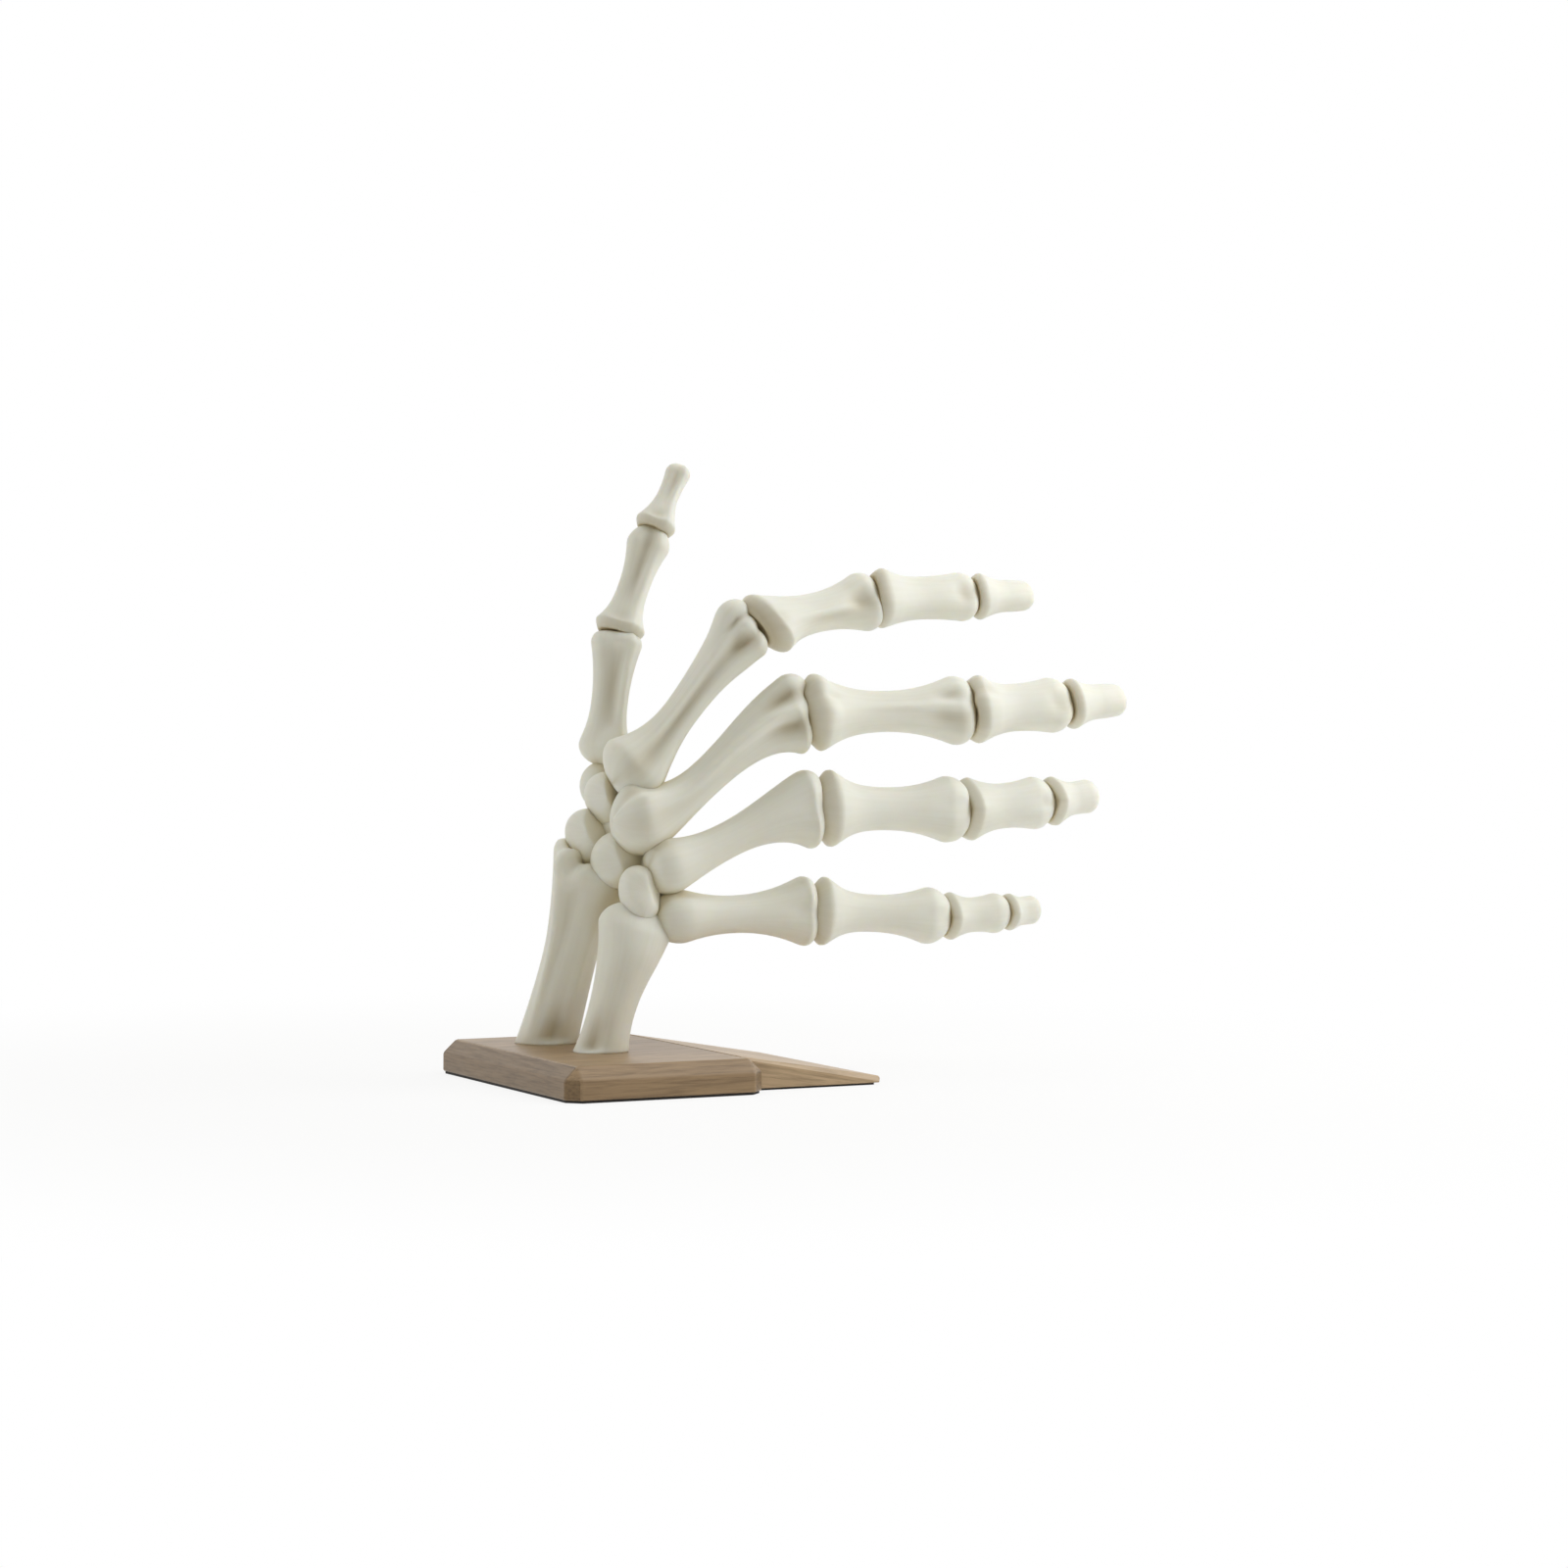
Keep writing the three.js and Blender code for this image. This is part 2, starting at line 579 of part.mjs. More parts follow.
addPiece('non_slip_pad', padGeometry(), 'rubber');
addPiece('base_board', geometryOf(drilled(drilled(boardSolid(), screws), dowels)), 'oak');
addPiece('wedge_tongue', geometryOf(drilled(tongueSolid(), dowels)), 'oak');
for (const [name, solid] of Object.entries(bones)) {
  addPiece(name, geometryOf(largest(drilled(drilled(solid, pins), screws))), 'bone');
}
for (const [name, { geometry }] of Object.entries(dowels)) addPiece(name, geometry, 'beech');
for (const [name, { geometry }] of Object.entries({ ...screws, ...pins })) addPiece(name, geometry, 'steel');

export default hand;
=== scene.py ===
import json
import math

import bmesh
import bpy
import numpy as np
from mathutils import Matrix, Vector


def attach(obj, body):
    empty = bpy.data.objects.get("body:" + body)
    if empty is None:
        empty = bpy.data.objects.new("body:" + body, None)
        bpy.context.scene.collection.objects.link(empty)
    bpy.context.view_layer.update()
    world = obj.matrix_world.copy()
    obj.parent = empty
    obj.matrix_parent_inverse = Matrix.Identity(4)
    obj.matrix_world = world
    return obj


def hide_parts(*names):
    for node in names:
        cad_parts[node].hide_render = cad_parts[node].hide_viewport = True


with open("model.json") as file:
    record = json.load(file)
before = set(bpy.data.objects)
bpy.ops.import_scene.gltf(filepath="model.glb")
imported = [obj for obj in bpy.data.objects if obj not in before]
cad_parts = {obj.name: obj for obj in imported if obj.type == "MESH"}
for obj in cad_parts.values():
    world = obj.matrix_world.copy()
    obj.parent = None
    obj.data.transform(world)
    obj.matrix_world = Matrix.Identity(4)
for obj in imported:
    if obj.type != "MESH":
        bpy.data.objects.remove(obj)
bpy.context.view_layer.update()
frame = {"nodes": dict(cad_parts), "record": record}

# Sizes below are in millimetres, as in the CAD; meshes are written in metres.
MM = 0.001
BODY = "root"
FIT = 0.3
FOOT_SUNK = 0.15

# Base: board, tongue and the pad under them
BOARD_EDGE = 33.5
BOARD_HALF = 55.0
BOARD_TOP = 11.1
CHAMFER_IN = 4.4
CHAMFER_DOWN = 4.2
CORNER_CUT = 4.1
PAD_THICK = 0.8
TONGUE_HALF = 45.0
TONGUE_TIP = 79.0
TONGUE_NOSE = 2.1
EASE_ROOT = 0.8
EASE_NOSE = 1.7
ROOT_FACE = BOARD_EDGE - CHAMFER_IN
TONGUE_DROP = BOARD_TOP - PAD_THICK - TONGUE_NOSE
TONGUE_RUN = TONGUE_TIP - TONGUE_NOSE / 2 - ROOT_FACE
TONGUE_SLOPE = math.atan2(TONGUE_DROP, TONGUE_RUN)
NOSE_DEGREES = range(-75, 90, 15)
EDGE_ROUND = 0.6
EDGE_STEPS = 4
SHARP = math.radians(12)
NEARLY_FLAT = math.radians(1)
NORMAL_WEIGHT = 100

# Camera at the photograph's angle
CAMERA_PLACE = (-0.4995, -1.1507, 0.1293)
CAMERA_TURN = math.radians(26.18)
CAMERA_DROP = math.radians(1.53)
SENSOR_WIDTH = 36.0
LENS = 90.0

# Forearm bones: the foot on the board, the top of the shaft, the widths and the cup or dome on top
RADIUS = {
    "foot": (-7.7, 25.7),
    "top": (4.3, 13.8, 69.8),
    "widths": (19.4, 16.6, 27.6),
    "waist": 0.45,
    "dome": 0.3,
    "slant": (-0.35, -0.35),
    "cup": 0.03,
    "thinned": 0.0,
}
ULNA = {
    "foot": (-3.7, -10.0),
    "top": (10.2, -10.0, 58.0),
    "widths": (17.2, 14.8, 23.0),
    "waist": 0.3,
    "dome": 0.75,
    "slant": (0.0, 0.0),
    "cup": 0.0,
    "thinned": 0.45,
}
# The cup, as shares of the rise from neck to lip and of the half width, and the dip in its middle
CUP_SHOULDER = (0.5, 0.97)
CUP_LIP = 0.76
CUP_FLOOR = 0.5
CUP_DIP = 1.0
# Lengths over which the foot goes from a crisp edge, a level cut and a plain side to the shaft's form
FOOT_CRISP = 4.0
FOOT_LEVEL = 25.0
FOOT_PLAIN = 3.0
# Where the form of the top starts and the run over which it comes in, as shares of the length
TOP_START = 0.6
TOP_RUN = 0.4

# Wrist bones: centre, half sizes and turn about Y in degrees
CARPALS = {
    "triquetrum": ((10.4, -9.6, 61.9), (6.6, 7.2, 8.3), -20),
    "lunate": ((8.6, 2.4, 71.3), (9.6, 9.2, 9.4), -25),
    "scaphoid": ((2.6, 14.0, 79.6), (7.4, 8.5, 8.0), -20),
    "trapezoid": ((8.4, 12.0, 91.5), (7.3, 8.6, 8.0), -15),
    "trapezium": ((10.6, 22.3, 94.6), (6.8, 7.4, 7.8), 0),
    "capitate": ((15.5, 9.5, 82.0), (8.5, 8.0, 9.5), 30),
    "hamate": ((20.0, 2.6, 66.6), (9.0, 9.5, 11.0), 0),
}

# Fingers: where the metacarpal starts, the way the back faces, the degrees by which the bones are rolled
# towards the thumb, and the bones from the wrist out, each with its kind, length, lift, turn, widths at
# base, shaft and head, and the leans of its axis
FINGERS = {
    "ring": ((13.8, -10.4, 68.5), (0, -1, 0), 6, [
        ("metacarpal", 63.5, 17.2, 1.3, 18.4, 11.7, 25.9, {"base": -10, "head": -16}),
        ("proximal_phalanx", 55.2, -1.3, 2.1, 25.8, 14.2, 22.1, {"askew": 2.5}),
        ("middle_phalanx", 34.6, 3.5, 4.1, 21.5, 15.1, 17.8, {}),
        ("distal_phalanx", 20.4, 5.0, 10.0, 17.2, 11.2, 11.6, {}),
    ]),
    "middle": ((3.2, -2.9, 83.7), (0, -1, 0), 24, [
        ("metacarpal", 76.0, 27.2, -3.4, 24.8, 12.1, 25.9, {"base": -30, "head": -20}),
        ("proximal_phalanx", 62.0, 0.5, 0.9, 25.8, 13.7, 23.4, {"askew": 7}),
        ("middle_phalanx", 39.3, 2.8, 4.3, 22.7, 16.2, 19.0, {}),
        ("distal_phalanx", 24.6, 3.7, 9.4, 17.5, 12.0, 11.4, {}),
    ]),
    "index": ((7.0, 5.4, 95.4), (0, -1, 0), 28, [
        ("metacarpal", 70.4, 46.6, -8.9, 24.3, 11.5, 21.0, {"base": -14, "head": -10}),
        ("proximal_phalanx", 50.5, 10.7, 10.9, 23.0, 13.3, 20.2, {"askew": 26}),
        ("middle_phalanx", 41.3, 1.9, 7.2, 19.8, 14.8, 17.0, {}),
        ("distal_phalanx", 24.4, 1.5, 9.4, 16.2, 11.2, 10.6, {}),
    ]),
    "little": ((17.7, -12.0, 53.3), (0, -1, 0), 0, [
        ("metacarpal", 54.2, 0.7, 2.1, 17.3, 12.2, 22.8, {}),
        ("proximal_phalanx", 50.6, -3.8, 2.3, 23.0, 12.3, 18.9, {}),
        ("middle_phalanx", 24.2, 1.5, 4.6, 16.3, 11.6, 13.5, {}),
        ("distal_phalanx", 14.4, 2.0, 12.2, 12.9, 9.5, 9.7, {}),
    ]),
    "thumb": ((10.8, 21.9, 100.7), (-0.6, -0.8, 0), 0, [
        ("metacarpal", 44.1, 80.1, 22.8, 17.6, 12.0, 16.8, {}),
        ("proximal_phalanx", 37.9, 65.2, 18.4, 17.0, 10.2, 14.4, {}),
        ("distal_phalanx", 25.9, 58.2, 21.9, 14.0, 7.2, 8.5, {}),
    ]),
}

# Form of each kind of bone. Knob, dome, dish, lip and rim are shares of the half width at that end, the
# waist's place is a share of the length, and depth is the thickness over the width at base, shaft and
# head. Flare is the power of the curve from the base, shaft_square that of the shaft's section, seat how
# far the head reaches into the next bone, groove the depth of the valley on the head, and the last key the
# share of painted shade laid on the base's bevel, where the bone meets the one before it.
FORMS = {
    "metacarpal": {
        "knob": 0.75,
        "dome": 0.55,
        "waist": 0.42,
        "depth": (0.95, 0.95, 0.88),
        "groove": 0.16,
        "shaft_square": 2.0,
    },
    "proximal_phalanx": {
        "dish": 0.1,
        "lip": 0.64,
        "rim": 0.3,
        "flare": 2.9,
        "base_shade": 0.4,
        "dome": 0.84,
        "seat": 1.6,
        "waist": 0.5,
        "depth": (0.92, 0.82, 0.76),
        "groove": 0.14,
    },
    "middle_phalanx": {
        "dish": 0.12,
        "lip": 0.82,
        "rim": 0.22,
        "base_shade": 0.5,
        "dome": 0.82,
        "seat": 1.5,
        "waist": 0.5,
        "depth": (0.9, 0.78, 0.74),
        "groove": 0.1,
    },
    "distal_phalanx": {
        "dish": 0.12,
        "lip": 0.82,
        "rim": 0.19,
        "base_shade": 0.4,
        "dome": 0.86,
        "waist": 0.62,
        "depth": (0.9, 0.8, 0.8),
        "groove": 0.0,
    },
}
TAPER = 2.1
SQUARENESS = 2.2
KEEL_PACE = 3.0
# The valley on the head: its spread across, and where along it starts and the run over which it comes in,
# as shares of the half width
GROOVE_SPREAD = 0.34
GROOVE_START = 1.6
GROOVE_RUN = 1.2
# The middle of a dished base: its share of the dish's depth and of the half width
DISH_MIDDLE = (0.4, 0.45)
# The slope from the edge of the dish to the widest ring: shares of its run and of its rise
BEVEL_STEPS = [(0.0, 0.0), (0.5, 0.53), (0.92, 0.96), (1.0, 1.0)]
# Reach of a soft knob as a share of the length, and of a slanted and a skewed joint as shares of the half
# width
KNOB_REACH = 0.4
SLANT_REACH = 0.6
ASKEW_REACH = 2

# What single bones have of their own, over the form of their kind. Full and knob_full are the powers of
# head and knob, knob_round is the knob's softening, reach is how far the knob goes on into the wrist, and
# end is the share of the head's half width that is cut flat. Keel tells how far the back comes to an edge
# at base and head, as the power of the section there.
SHAPES = {
    "ring_metacarpal": {"dome": 0.36, "end": 0.7, "knob_full": 2.8, "knob_round": 1.5, "reach": 1.5},
    "little_metacarpal": {"dome": 0.36, "end": 0.7, "knob_full": 2.6, "knob_round": 1.6, "reach": 3.5},
    "middle_metacarpal": {"dome": 0.38, "end": 0.7},
    "index_metacarpal": {"dome": 0.45, "end": 0.66},
    "thumb_metacarpal": {"dome": 0.4, "end": 0.7},
    "thumb_proximal_phalanx": {"lip": 0.78, "rim": 0.32, "base_shade": 0.45},
    "thumb_distal_phalanx": {"lip": 0.78, "rim": 0.32, "base_shade": 0.45},
    "index_proximal_phalanx": {
        "lip": 0.64,
        "rim": 0.42,
        "flare": 2.2,
        "base_shade": 0.7,
        "dome": 0.6,
        "full": 2.6,
    },
    "middle_proximal_phalanx": {"flare": 2.4, "base_shade": 0.5, "dome": 0.62, "full": 2.6},
    "index_distal_phalanx": {"full": 2.2},
    "middle_distal_phalanx": {"full": 2.2},
    "index_middle_phalanx": {"keel": (2.7, 2.35), "base_shade": 0.6},
    "middle_middle_phalanx": {"keel": (2.6, 2.35)},
    "ring_middle_phalanx": {"keel": (1.3, 1.5)},
    "ring_distal_phalanx": {"keel": (1.3, 2.0), "full": 2.2},
    "little_middle_phalanx": {"keel": (1.4, 1.6)},
    "little_distal_phalanx": {"keel": (1.4, 2.0), "full": 2.2},
    "ring_proximal_phalanx": {"keel": (2.2, 1.8), "dome": 0.7, "full": 2.5},
    "little_proximal_phalanx": {"keel": (2.2, 1.9)},
}

# Degrees by which the joints from the metacarpal out are cut aslant, their back nearer to the wrist
JOINT_SLANTS = {
    "ring": (15, 0, 0),
    "little": (15, 0, 0),
    "middle": (13, 12, 6),
    "index": (8, 14, 14),
    "thumb": (0, 0, 0),
}

# Meshing of the bones: rings and sides of a grid, points on an outline's curves, the step at which it is
# softened and by how much, where the base ends in the UV map, and the depth of a small hollow that takes the
# full painted shade
RINGS = 96
SIDES = 72
ARC_POINTS = 40
SIDE_POINTS = 60
STEP = 0.08
ROUNDING = 0.6
KNOB_ROUNDING = 2.6
END_MARK = 0.12
DEEPEST = 2.8
# Small forms fade out towards the poles, inside this share of the largest radius
POLE_FADE = 0.3
TINY = 1e-9

# Lobes of a knuckle: degrees from its hollow, width in degrees and share of the hollow's depth
LOBE_TURN = 22
LOBE_WIDTH = 12
LOBE_SHARE = 0.45
# The hollow beside its lower lobe: place, degrees, share of the depth, reach and width
BESIDE_PLACE = 0.05
BESIDE_TURN = 50
BESIDE_SHARE = 0.55
BESIDE_REACH = 1.2
BESIDE_WIDTH = 22


def knuckle(place, turn, deep, reach):
    """A hollow between two lobes on the back of a bone's end, and the hollow beside the lower lobe."""
    beside = (place - BESIDE_PLACE, turn + BESIDE_TURN)
    return [
        (place, turn, -deep, reach, LOBE_WIDTH),
        (place, turn + LOBE_TURN, LOBE_SHARE * deep, reach, LOBE_WIDTH),
        (place, turn - LOBE_TURN, LOBE_SHARE * deep, reach, LOBE_WIDTH),
        (*beside, -BESIDE_SHARE * deep, BESIDE_REACH * reach, BESIDE_WIDTH),
    ]


# Small forms on single bones: place along the bone as a share, angle round it in degrees (0 on the
# back, 90 on the little finger's side), height, spread along it, and spread round it in degrees
DETAILS = {
    "index_metacarpal": [
        (0.89, 15, -2.6, 6.0, 19),
        (0.955, 4, 1.6, 3.5, 14),
        (0.93, -24, -2.6, 4.5, 9),
        (0.95, -58, 2.4, 7.0, 32),
        (0.97, 115, -2.0, 7.0, 40),
        (0.5, 15, -1.7, 26.0, 19),
        (0.17, 12, -1.0, 12.0, 30),
        (0.5, -12, 1.0, 26.0, 13),
        (0.12, 56, 1.7, 14.0, 13),
    ],
    "index_proximal_phalanx": [
        (0.1, 14, -0.9, 3.5, 20),
        (0.8, 14, -2.2, 5.5, 26),
        (0.83, -32, 0.8, 5.0, 18),
        (0.45, 22, 0.9, 12.0, 11),
        (0.55, 46, -1.1, 12.0, 20),
    ],
    "index_middle_phalanx": [
        (0.06, -40, 0.3, 3.0, 16),
        (0.81, 14, -1.5, 4.2, 26),
    ],
    "middle_metacarpal": [
        (0.9, -24, -3.0, 6.5, 17),
        (0.88, 30, -2.8, 8.0, 22),
        (0.95, -50, 1.6, 5.0, 16),
        (0.64, 4, 3.0, 20.0, 12),
        (0.86, 3, 1.6, 6.0, 12),
        (0.1, -45, -1.5, 8.0, 22),
        (0.2, 26, -1.0, 14.0, 26),
        (0.18, -15, 1.5, 13.0, 12),
    ],
    "middle_proximal_phalanx": [
        (0.06, -34, 1.2, 3.0, 16),
        (0.07, 16, 1.0, 3.5, 20),
        (0.1, -8, -0.6, 3.0, 10),
        *knuckle(0.82, -14, 1.1, 4.5),
        (0.83, 30, -1.1, 9.0, 22),
        (0.6, 8, 0.9, 14.0, 11),
    ],
    "middle_middle_phalanx": [
        *knuckle(0.06, -22, 0.9, 3.0),
        (0.82, 18, -1.3, 4.0, 24),
    ],
    "ring_metacarpal": [(0.05, -60, -1.2, 6.0, 25)],
    "ring_middle_phalanx": [(0.84, 0, -0.7, 3.0, 16)],
    "little_metacarpal": [
        (0.1, -70, -1.2, 6.0, 25),
        (0.15, -145, 2.0, 7.0, 35),
    ],
    "thumb_metacarpal": [
        (0.55, 50, 2.0, 17.0, 13),
        (0.6, 12, -1.9, 15.0, 36),
        (0.14, 30, 2.0, 6.0, 26),
        (0.95, 5, 0.9, 3.5, 40),
    ],
    "thumb_proximal_phalanx": [
        (0.48, 42, 1.5, 11.0, 18),
        (0.62, 7, -1.7, 11.0, 27),
        (0.86, 5, -1.0, 4.0, 18),
        (0.1, 4, -1.0, 3.0, 30),
    ],
    "thumb_distal_phalanx": [
        (0.4, 40, 1.0, 9.0, 18),
        (0.7, 8, -1.0, 7.0, 26),
        (0.13, 4, -0.9, 2.5, 30),
    ],
    "radius": [
        (0.5, -66, 1.5, 20.0, 10),
        (0.85, -68, 2.0, 13.0, 10),
        (0.76, -44, -1.0, 15.0, 15),
        (0.4, 8, 1.2, 26.0, 14),
        (0.3, 75, 1.1, 22.0, 40),
        (0.04, -8, -2.3, 8.0, 27),
        (0.985, -75, 0.9, 3.0, 8),
        (0.955, -68, 1.0, 3.0, 8),
        (0.92, -61, 1.2, 3.0, 8),
        (0.89, -53, 1.3, 3.0, 9),
        (0.92, -43, 1.1, 3.0, 9),
        (0.945, -34, 0.9, 3.0, 9),
        (0.95, -54, -0.8, 2.5, 8),
    ],
    "ulna": [
        (0.72, 80, 1.4, 13.0, 45),
        (0.04, -50, -2.3, 8.0, 27),
    ],
}

# Lifts of a forearm bone's top along its axis, laid out as the small forms are
LIFTS = {
    "radius": [(1.0, 5, 5.0, 12.0, 40), (1.0, -55, -0.6, 7.0, 20)],
}

# Flats on the wrist bones: the way each faces, as shares to the right, up and towards the viewer, and
# how far out it lies as a share of the half size
FLATS = {
    "scaphoid": [((0.75, 0.35, 0.55), 0.5), ((-0.55, 0.1, 0.8), 0.85)],
    "trapezoid": [((0.8, 0.25, 0.55), 0.5), ((-0.55, 0.0, 0.8), 0.85)],
    "lunate": [((0.75, 0.35, 0.55), 0.55), ((-0.4, -0.1, 0.9), 0.85)],
    "triquetrum": [((0.0, 0.1, 1.0), 0.85), ((0.9, 0.1, 0.4), 0.72)],
}
# Swells on the wrist bones, with the same ways: height and spread in degrees
SWELLS = {
    "scaphoid": [
        ((0.2, -1.0, 0.3), 3.2, 42),
        ((0.55, -0.85, 0.15), 2.4, 26),
        ((0.9, 0.0, 0.3), 2.2, 35),
    ],
    "trapezoid": [((0.35, -0.9, 0.2), 3.2, 40)],
    "lunate": [((0.9, 0.2, 0.3), 1.5, 35)],
    "triquetrum": [((0.4, -0.9, 0.2), 0.6, 35), ((-0.15, -0.8, 0.75), 3.2, 44)],
    "hamate": [((0.0, 0.0, 1.0), 1.0, 45)],
    "capitate": [((-0.8, 0.1, 0.5), 1.0, 45)],
}
# Softness of a flat's edge and the share of the bulge that it takes off
FLAT_EDGE = 0.08
FLATTENED = 0.85


def smooth_step(value):
    t = np.clip(value, 0.0, 1.0)
    return t * t * (3.0 - 2.0 * t)


def slope_of(degrees):
    return -math.tan(math.radians(degrees))


def arc(start, depth, radius, full=2.0, reverse=False):
    """Points of a rounded end, from its widest ring to its pole."""
    angle = np.linspace(0.0, math.pi / 2, ARC_POINTS)
    along = start + depth * np.sin(angle) ** (2.0 / full)
    points = np.stack([along, radius * np.maximum(np.cos(angle), 0.0) ** (2.0 / full)], axis=1)
    return points[::-1] if reverse else points


def sunk_sides(start, end, share, base, shaft, head, flare=TAPER):
    """Points of the concave sides between two ends."""
    waist = start + (end - start) * share
    t = np.linspace(0.0, 1.0, SIDE_POINTS)
    near = np.stack([start + (waist - start) * t, shaft + (base - shaft) * (1 - t) ** flare], axis=1)
    far = np.stack([end + (waist - end) * t, shaft + (head - shaft) * (1 - t) ** TAPER], axis=1)
    return np.concatenate([near[1:], far[::-1][1:]])


def resample(points, count):
    """The same outline with evenly spaced points."""
    gaps = np.linalg.norm(np.diff(points, axis=0), axis=1)
    along = np.concatenate([[0.0], np.cumsum(gaps)])
    where = np.linspace(0.0, along[-1], count)
    return np.stack([np.interp(where, along, points[:, k]) for k in range(points.shape[1])], axis=1)


def soften(points, sigma):
    """Rounds off an outline that starts and ends on the axis, by a Gaussian along its length."""
    length = np.linalg.norm(np.diff(points, axis=0), axis=1).sum()
    count = int(length / STEP)
    fine = resample(points, count)
    reach = int(4 * sigma / STEP)
    flip = np.array([1.0, -1.0])
    head = fine[1:reach + 1][::-1] * flip
    tail = fine[-reach - 1:-1][::-1] * flip
    padded = np.concatenate([head, fine, tail])
    kernel = np.exp(-0.5 * (np.arange(-reach, reach + 1) * STEP / sigma) ** 2)
    kernel /= kernel.sum()
    return np.stack([np.convolve(padded[:, k], kernel, mode="valid") for k in range(2)], axis=1)


def bevel(edge, crest, low, high):
    """Points of the slope from the edge of a bone's flat end up to its widest ring."""
    return [[edge + (crest - edge) * t, low + (high - low) * r] for t, r in BEVEL_STEPS]


def bone_outline(length, base, shaft, head, form):
    """Outline of a hand bone: a knob or a dished base, the shaft, and the domed head."""
    neck = length - form["dome"] * head
    if "knob" in form:
        rim = base * form["knob"]
        start = arc(rim, -rim - form.get("reach", 0.0), base, form.get("knob_full", 2.0), reverse=True)
    else:
        rim = base * form["rim"]
        dish = form["dish"] * base
        start = np.array([
            [0.0, 0.0],
            [-DISH_MIDDLE[0] * dish, DISH_MIDDLE[1] * base],
            *bevel(-dish, rim, form["lip"] * base, base),
        ])
    sides = sunk_sides(rim, neck, form["waist"], base, shaft, head, form.get("flare", TAPER))
    if "end" in form:
        tip = length + FIT
        low = form["end"] * head
        end = np.concatenate([arc(neck, tip - neck, head - low) + [0.0, low], [[tip, 0.0]]])
    else:
        tip = length + form.get("seat", 0.0)
        end = arc(neck, tip - neck, head, form.get("full", 2.0))
    return np.concatenate([start, sides, end[1:]])


def turned(outline):
    """Coordinates of a revolve on a grid of rings and sides: side, along and back."""
    rings = resample(outline, RINGS)
    angle = np.arange(SIDES) * 2 * math.pi / SIDES
    along = np.repeat(rings[:, :1], SIDES, axis=1)
    radius = np.maximum(rings[:, 1:], 0.0)
    return radius * np.sin(angle), along, radius * np.cos(angle), angle


def squared(angle, power):
    """Radius of a rounded square of half width 1."""
    total = np.abs(np.cos(angle)) ** power + np.abs(np.sin(angle)) ** power
    return total ** (-1.0 / power)


def normals_of(points):
    """Outward normals on the grid."""
    down = np.gradient(points, axis=0)
    wrapped = np.concatenate([points[:, -1:], points, points[:, :1]], axis=1)
    across = (wrapped[:, 2:] - wrapped[:, :-2]) / 2
    normal = np.cross(across, down)
    size = np.linalg.norm(normal, axis=2, keepdims=True)
    normal = normal / np.maximum(size, TINY)
    normal[0] = normal[1].mean(axis=0)
    normal[-1] = normal[-2].mean(axis=0)
    return normal


def detail_height(details, share, length, angle, radius):
    """Height of a bone's small forms over the grid."""
    height = np.zeros_like(share)
    fade = np.clip(radius / (POLE_FADE * radius.max()), 0.0, 1.0)
    for place, turn, rise, spread, width in details:
        gap = (angle - math.radians(turn) + math.pi) % (2 * math.pi) - math.pi
        reach = ((share - place) * length / spread) ** 2 + (gap / math.radians(width)) ** 2
        height += rise * np.exp(-reach) * fade
    return height


def between_ends(share, base, shaft, head, pace=2.0):
    """A value that goes from the base's over the shaft's to the head's."""
    low = base + (shaft - base) * smooth_step(pace * share)
    high = shaft + (head - shaft) * smooth_step(pace * share - pace + 1)
    return np.where(share < 0.5, low, high)


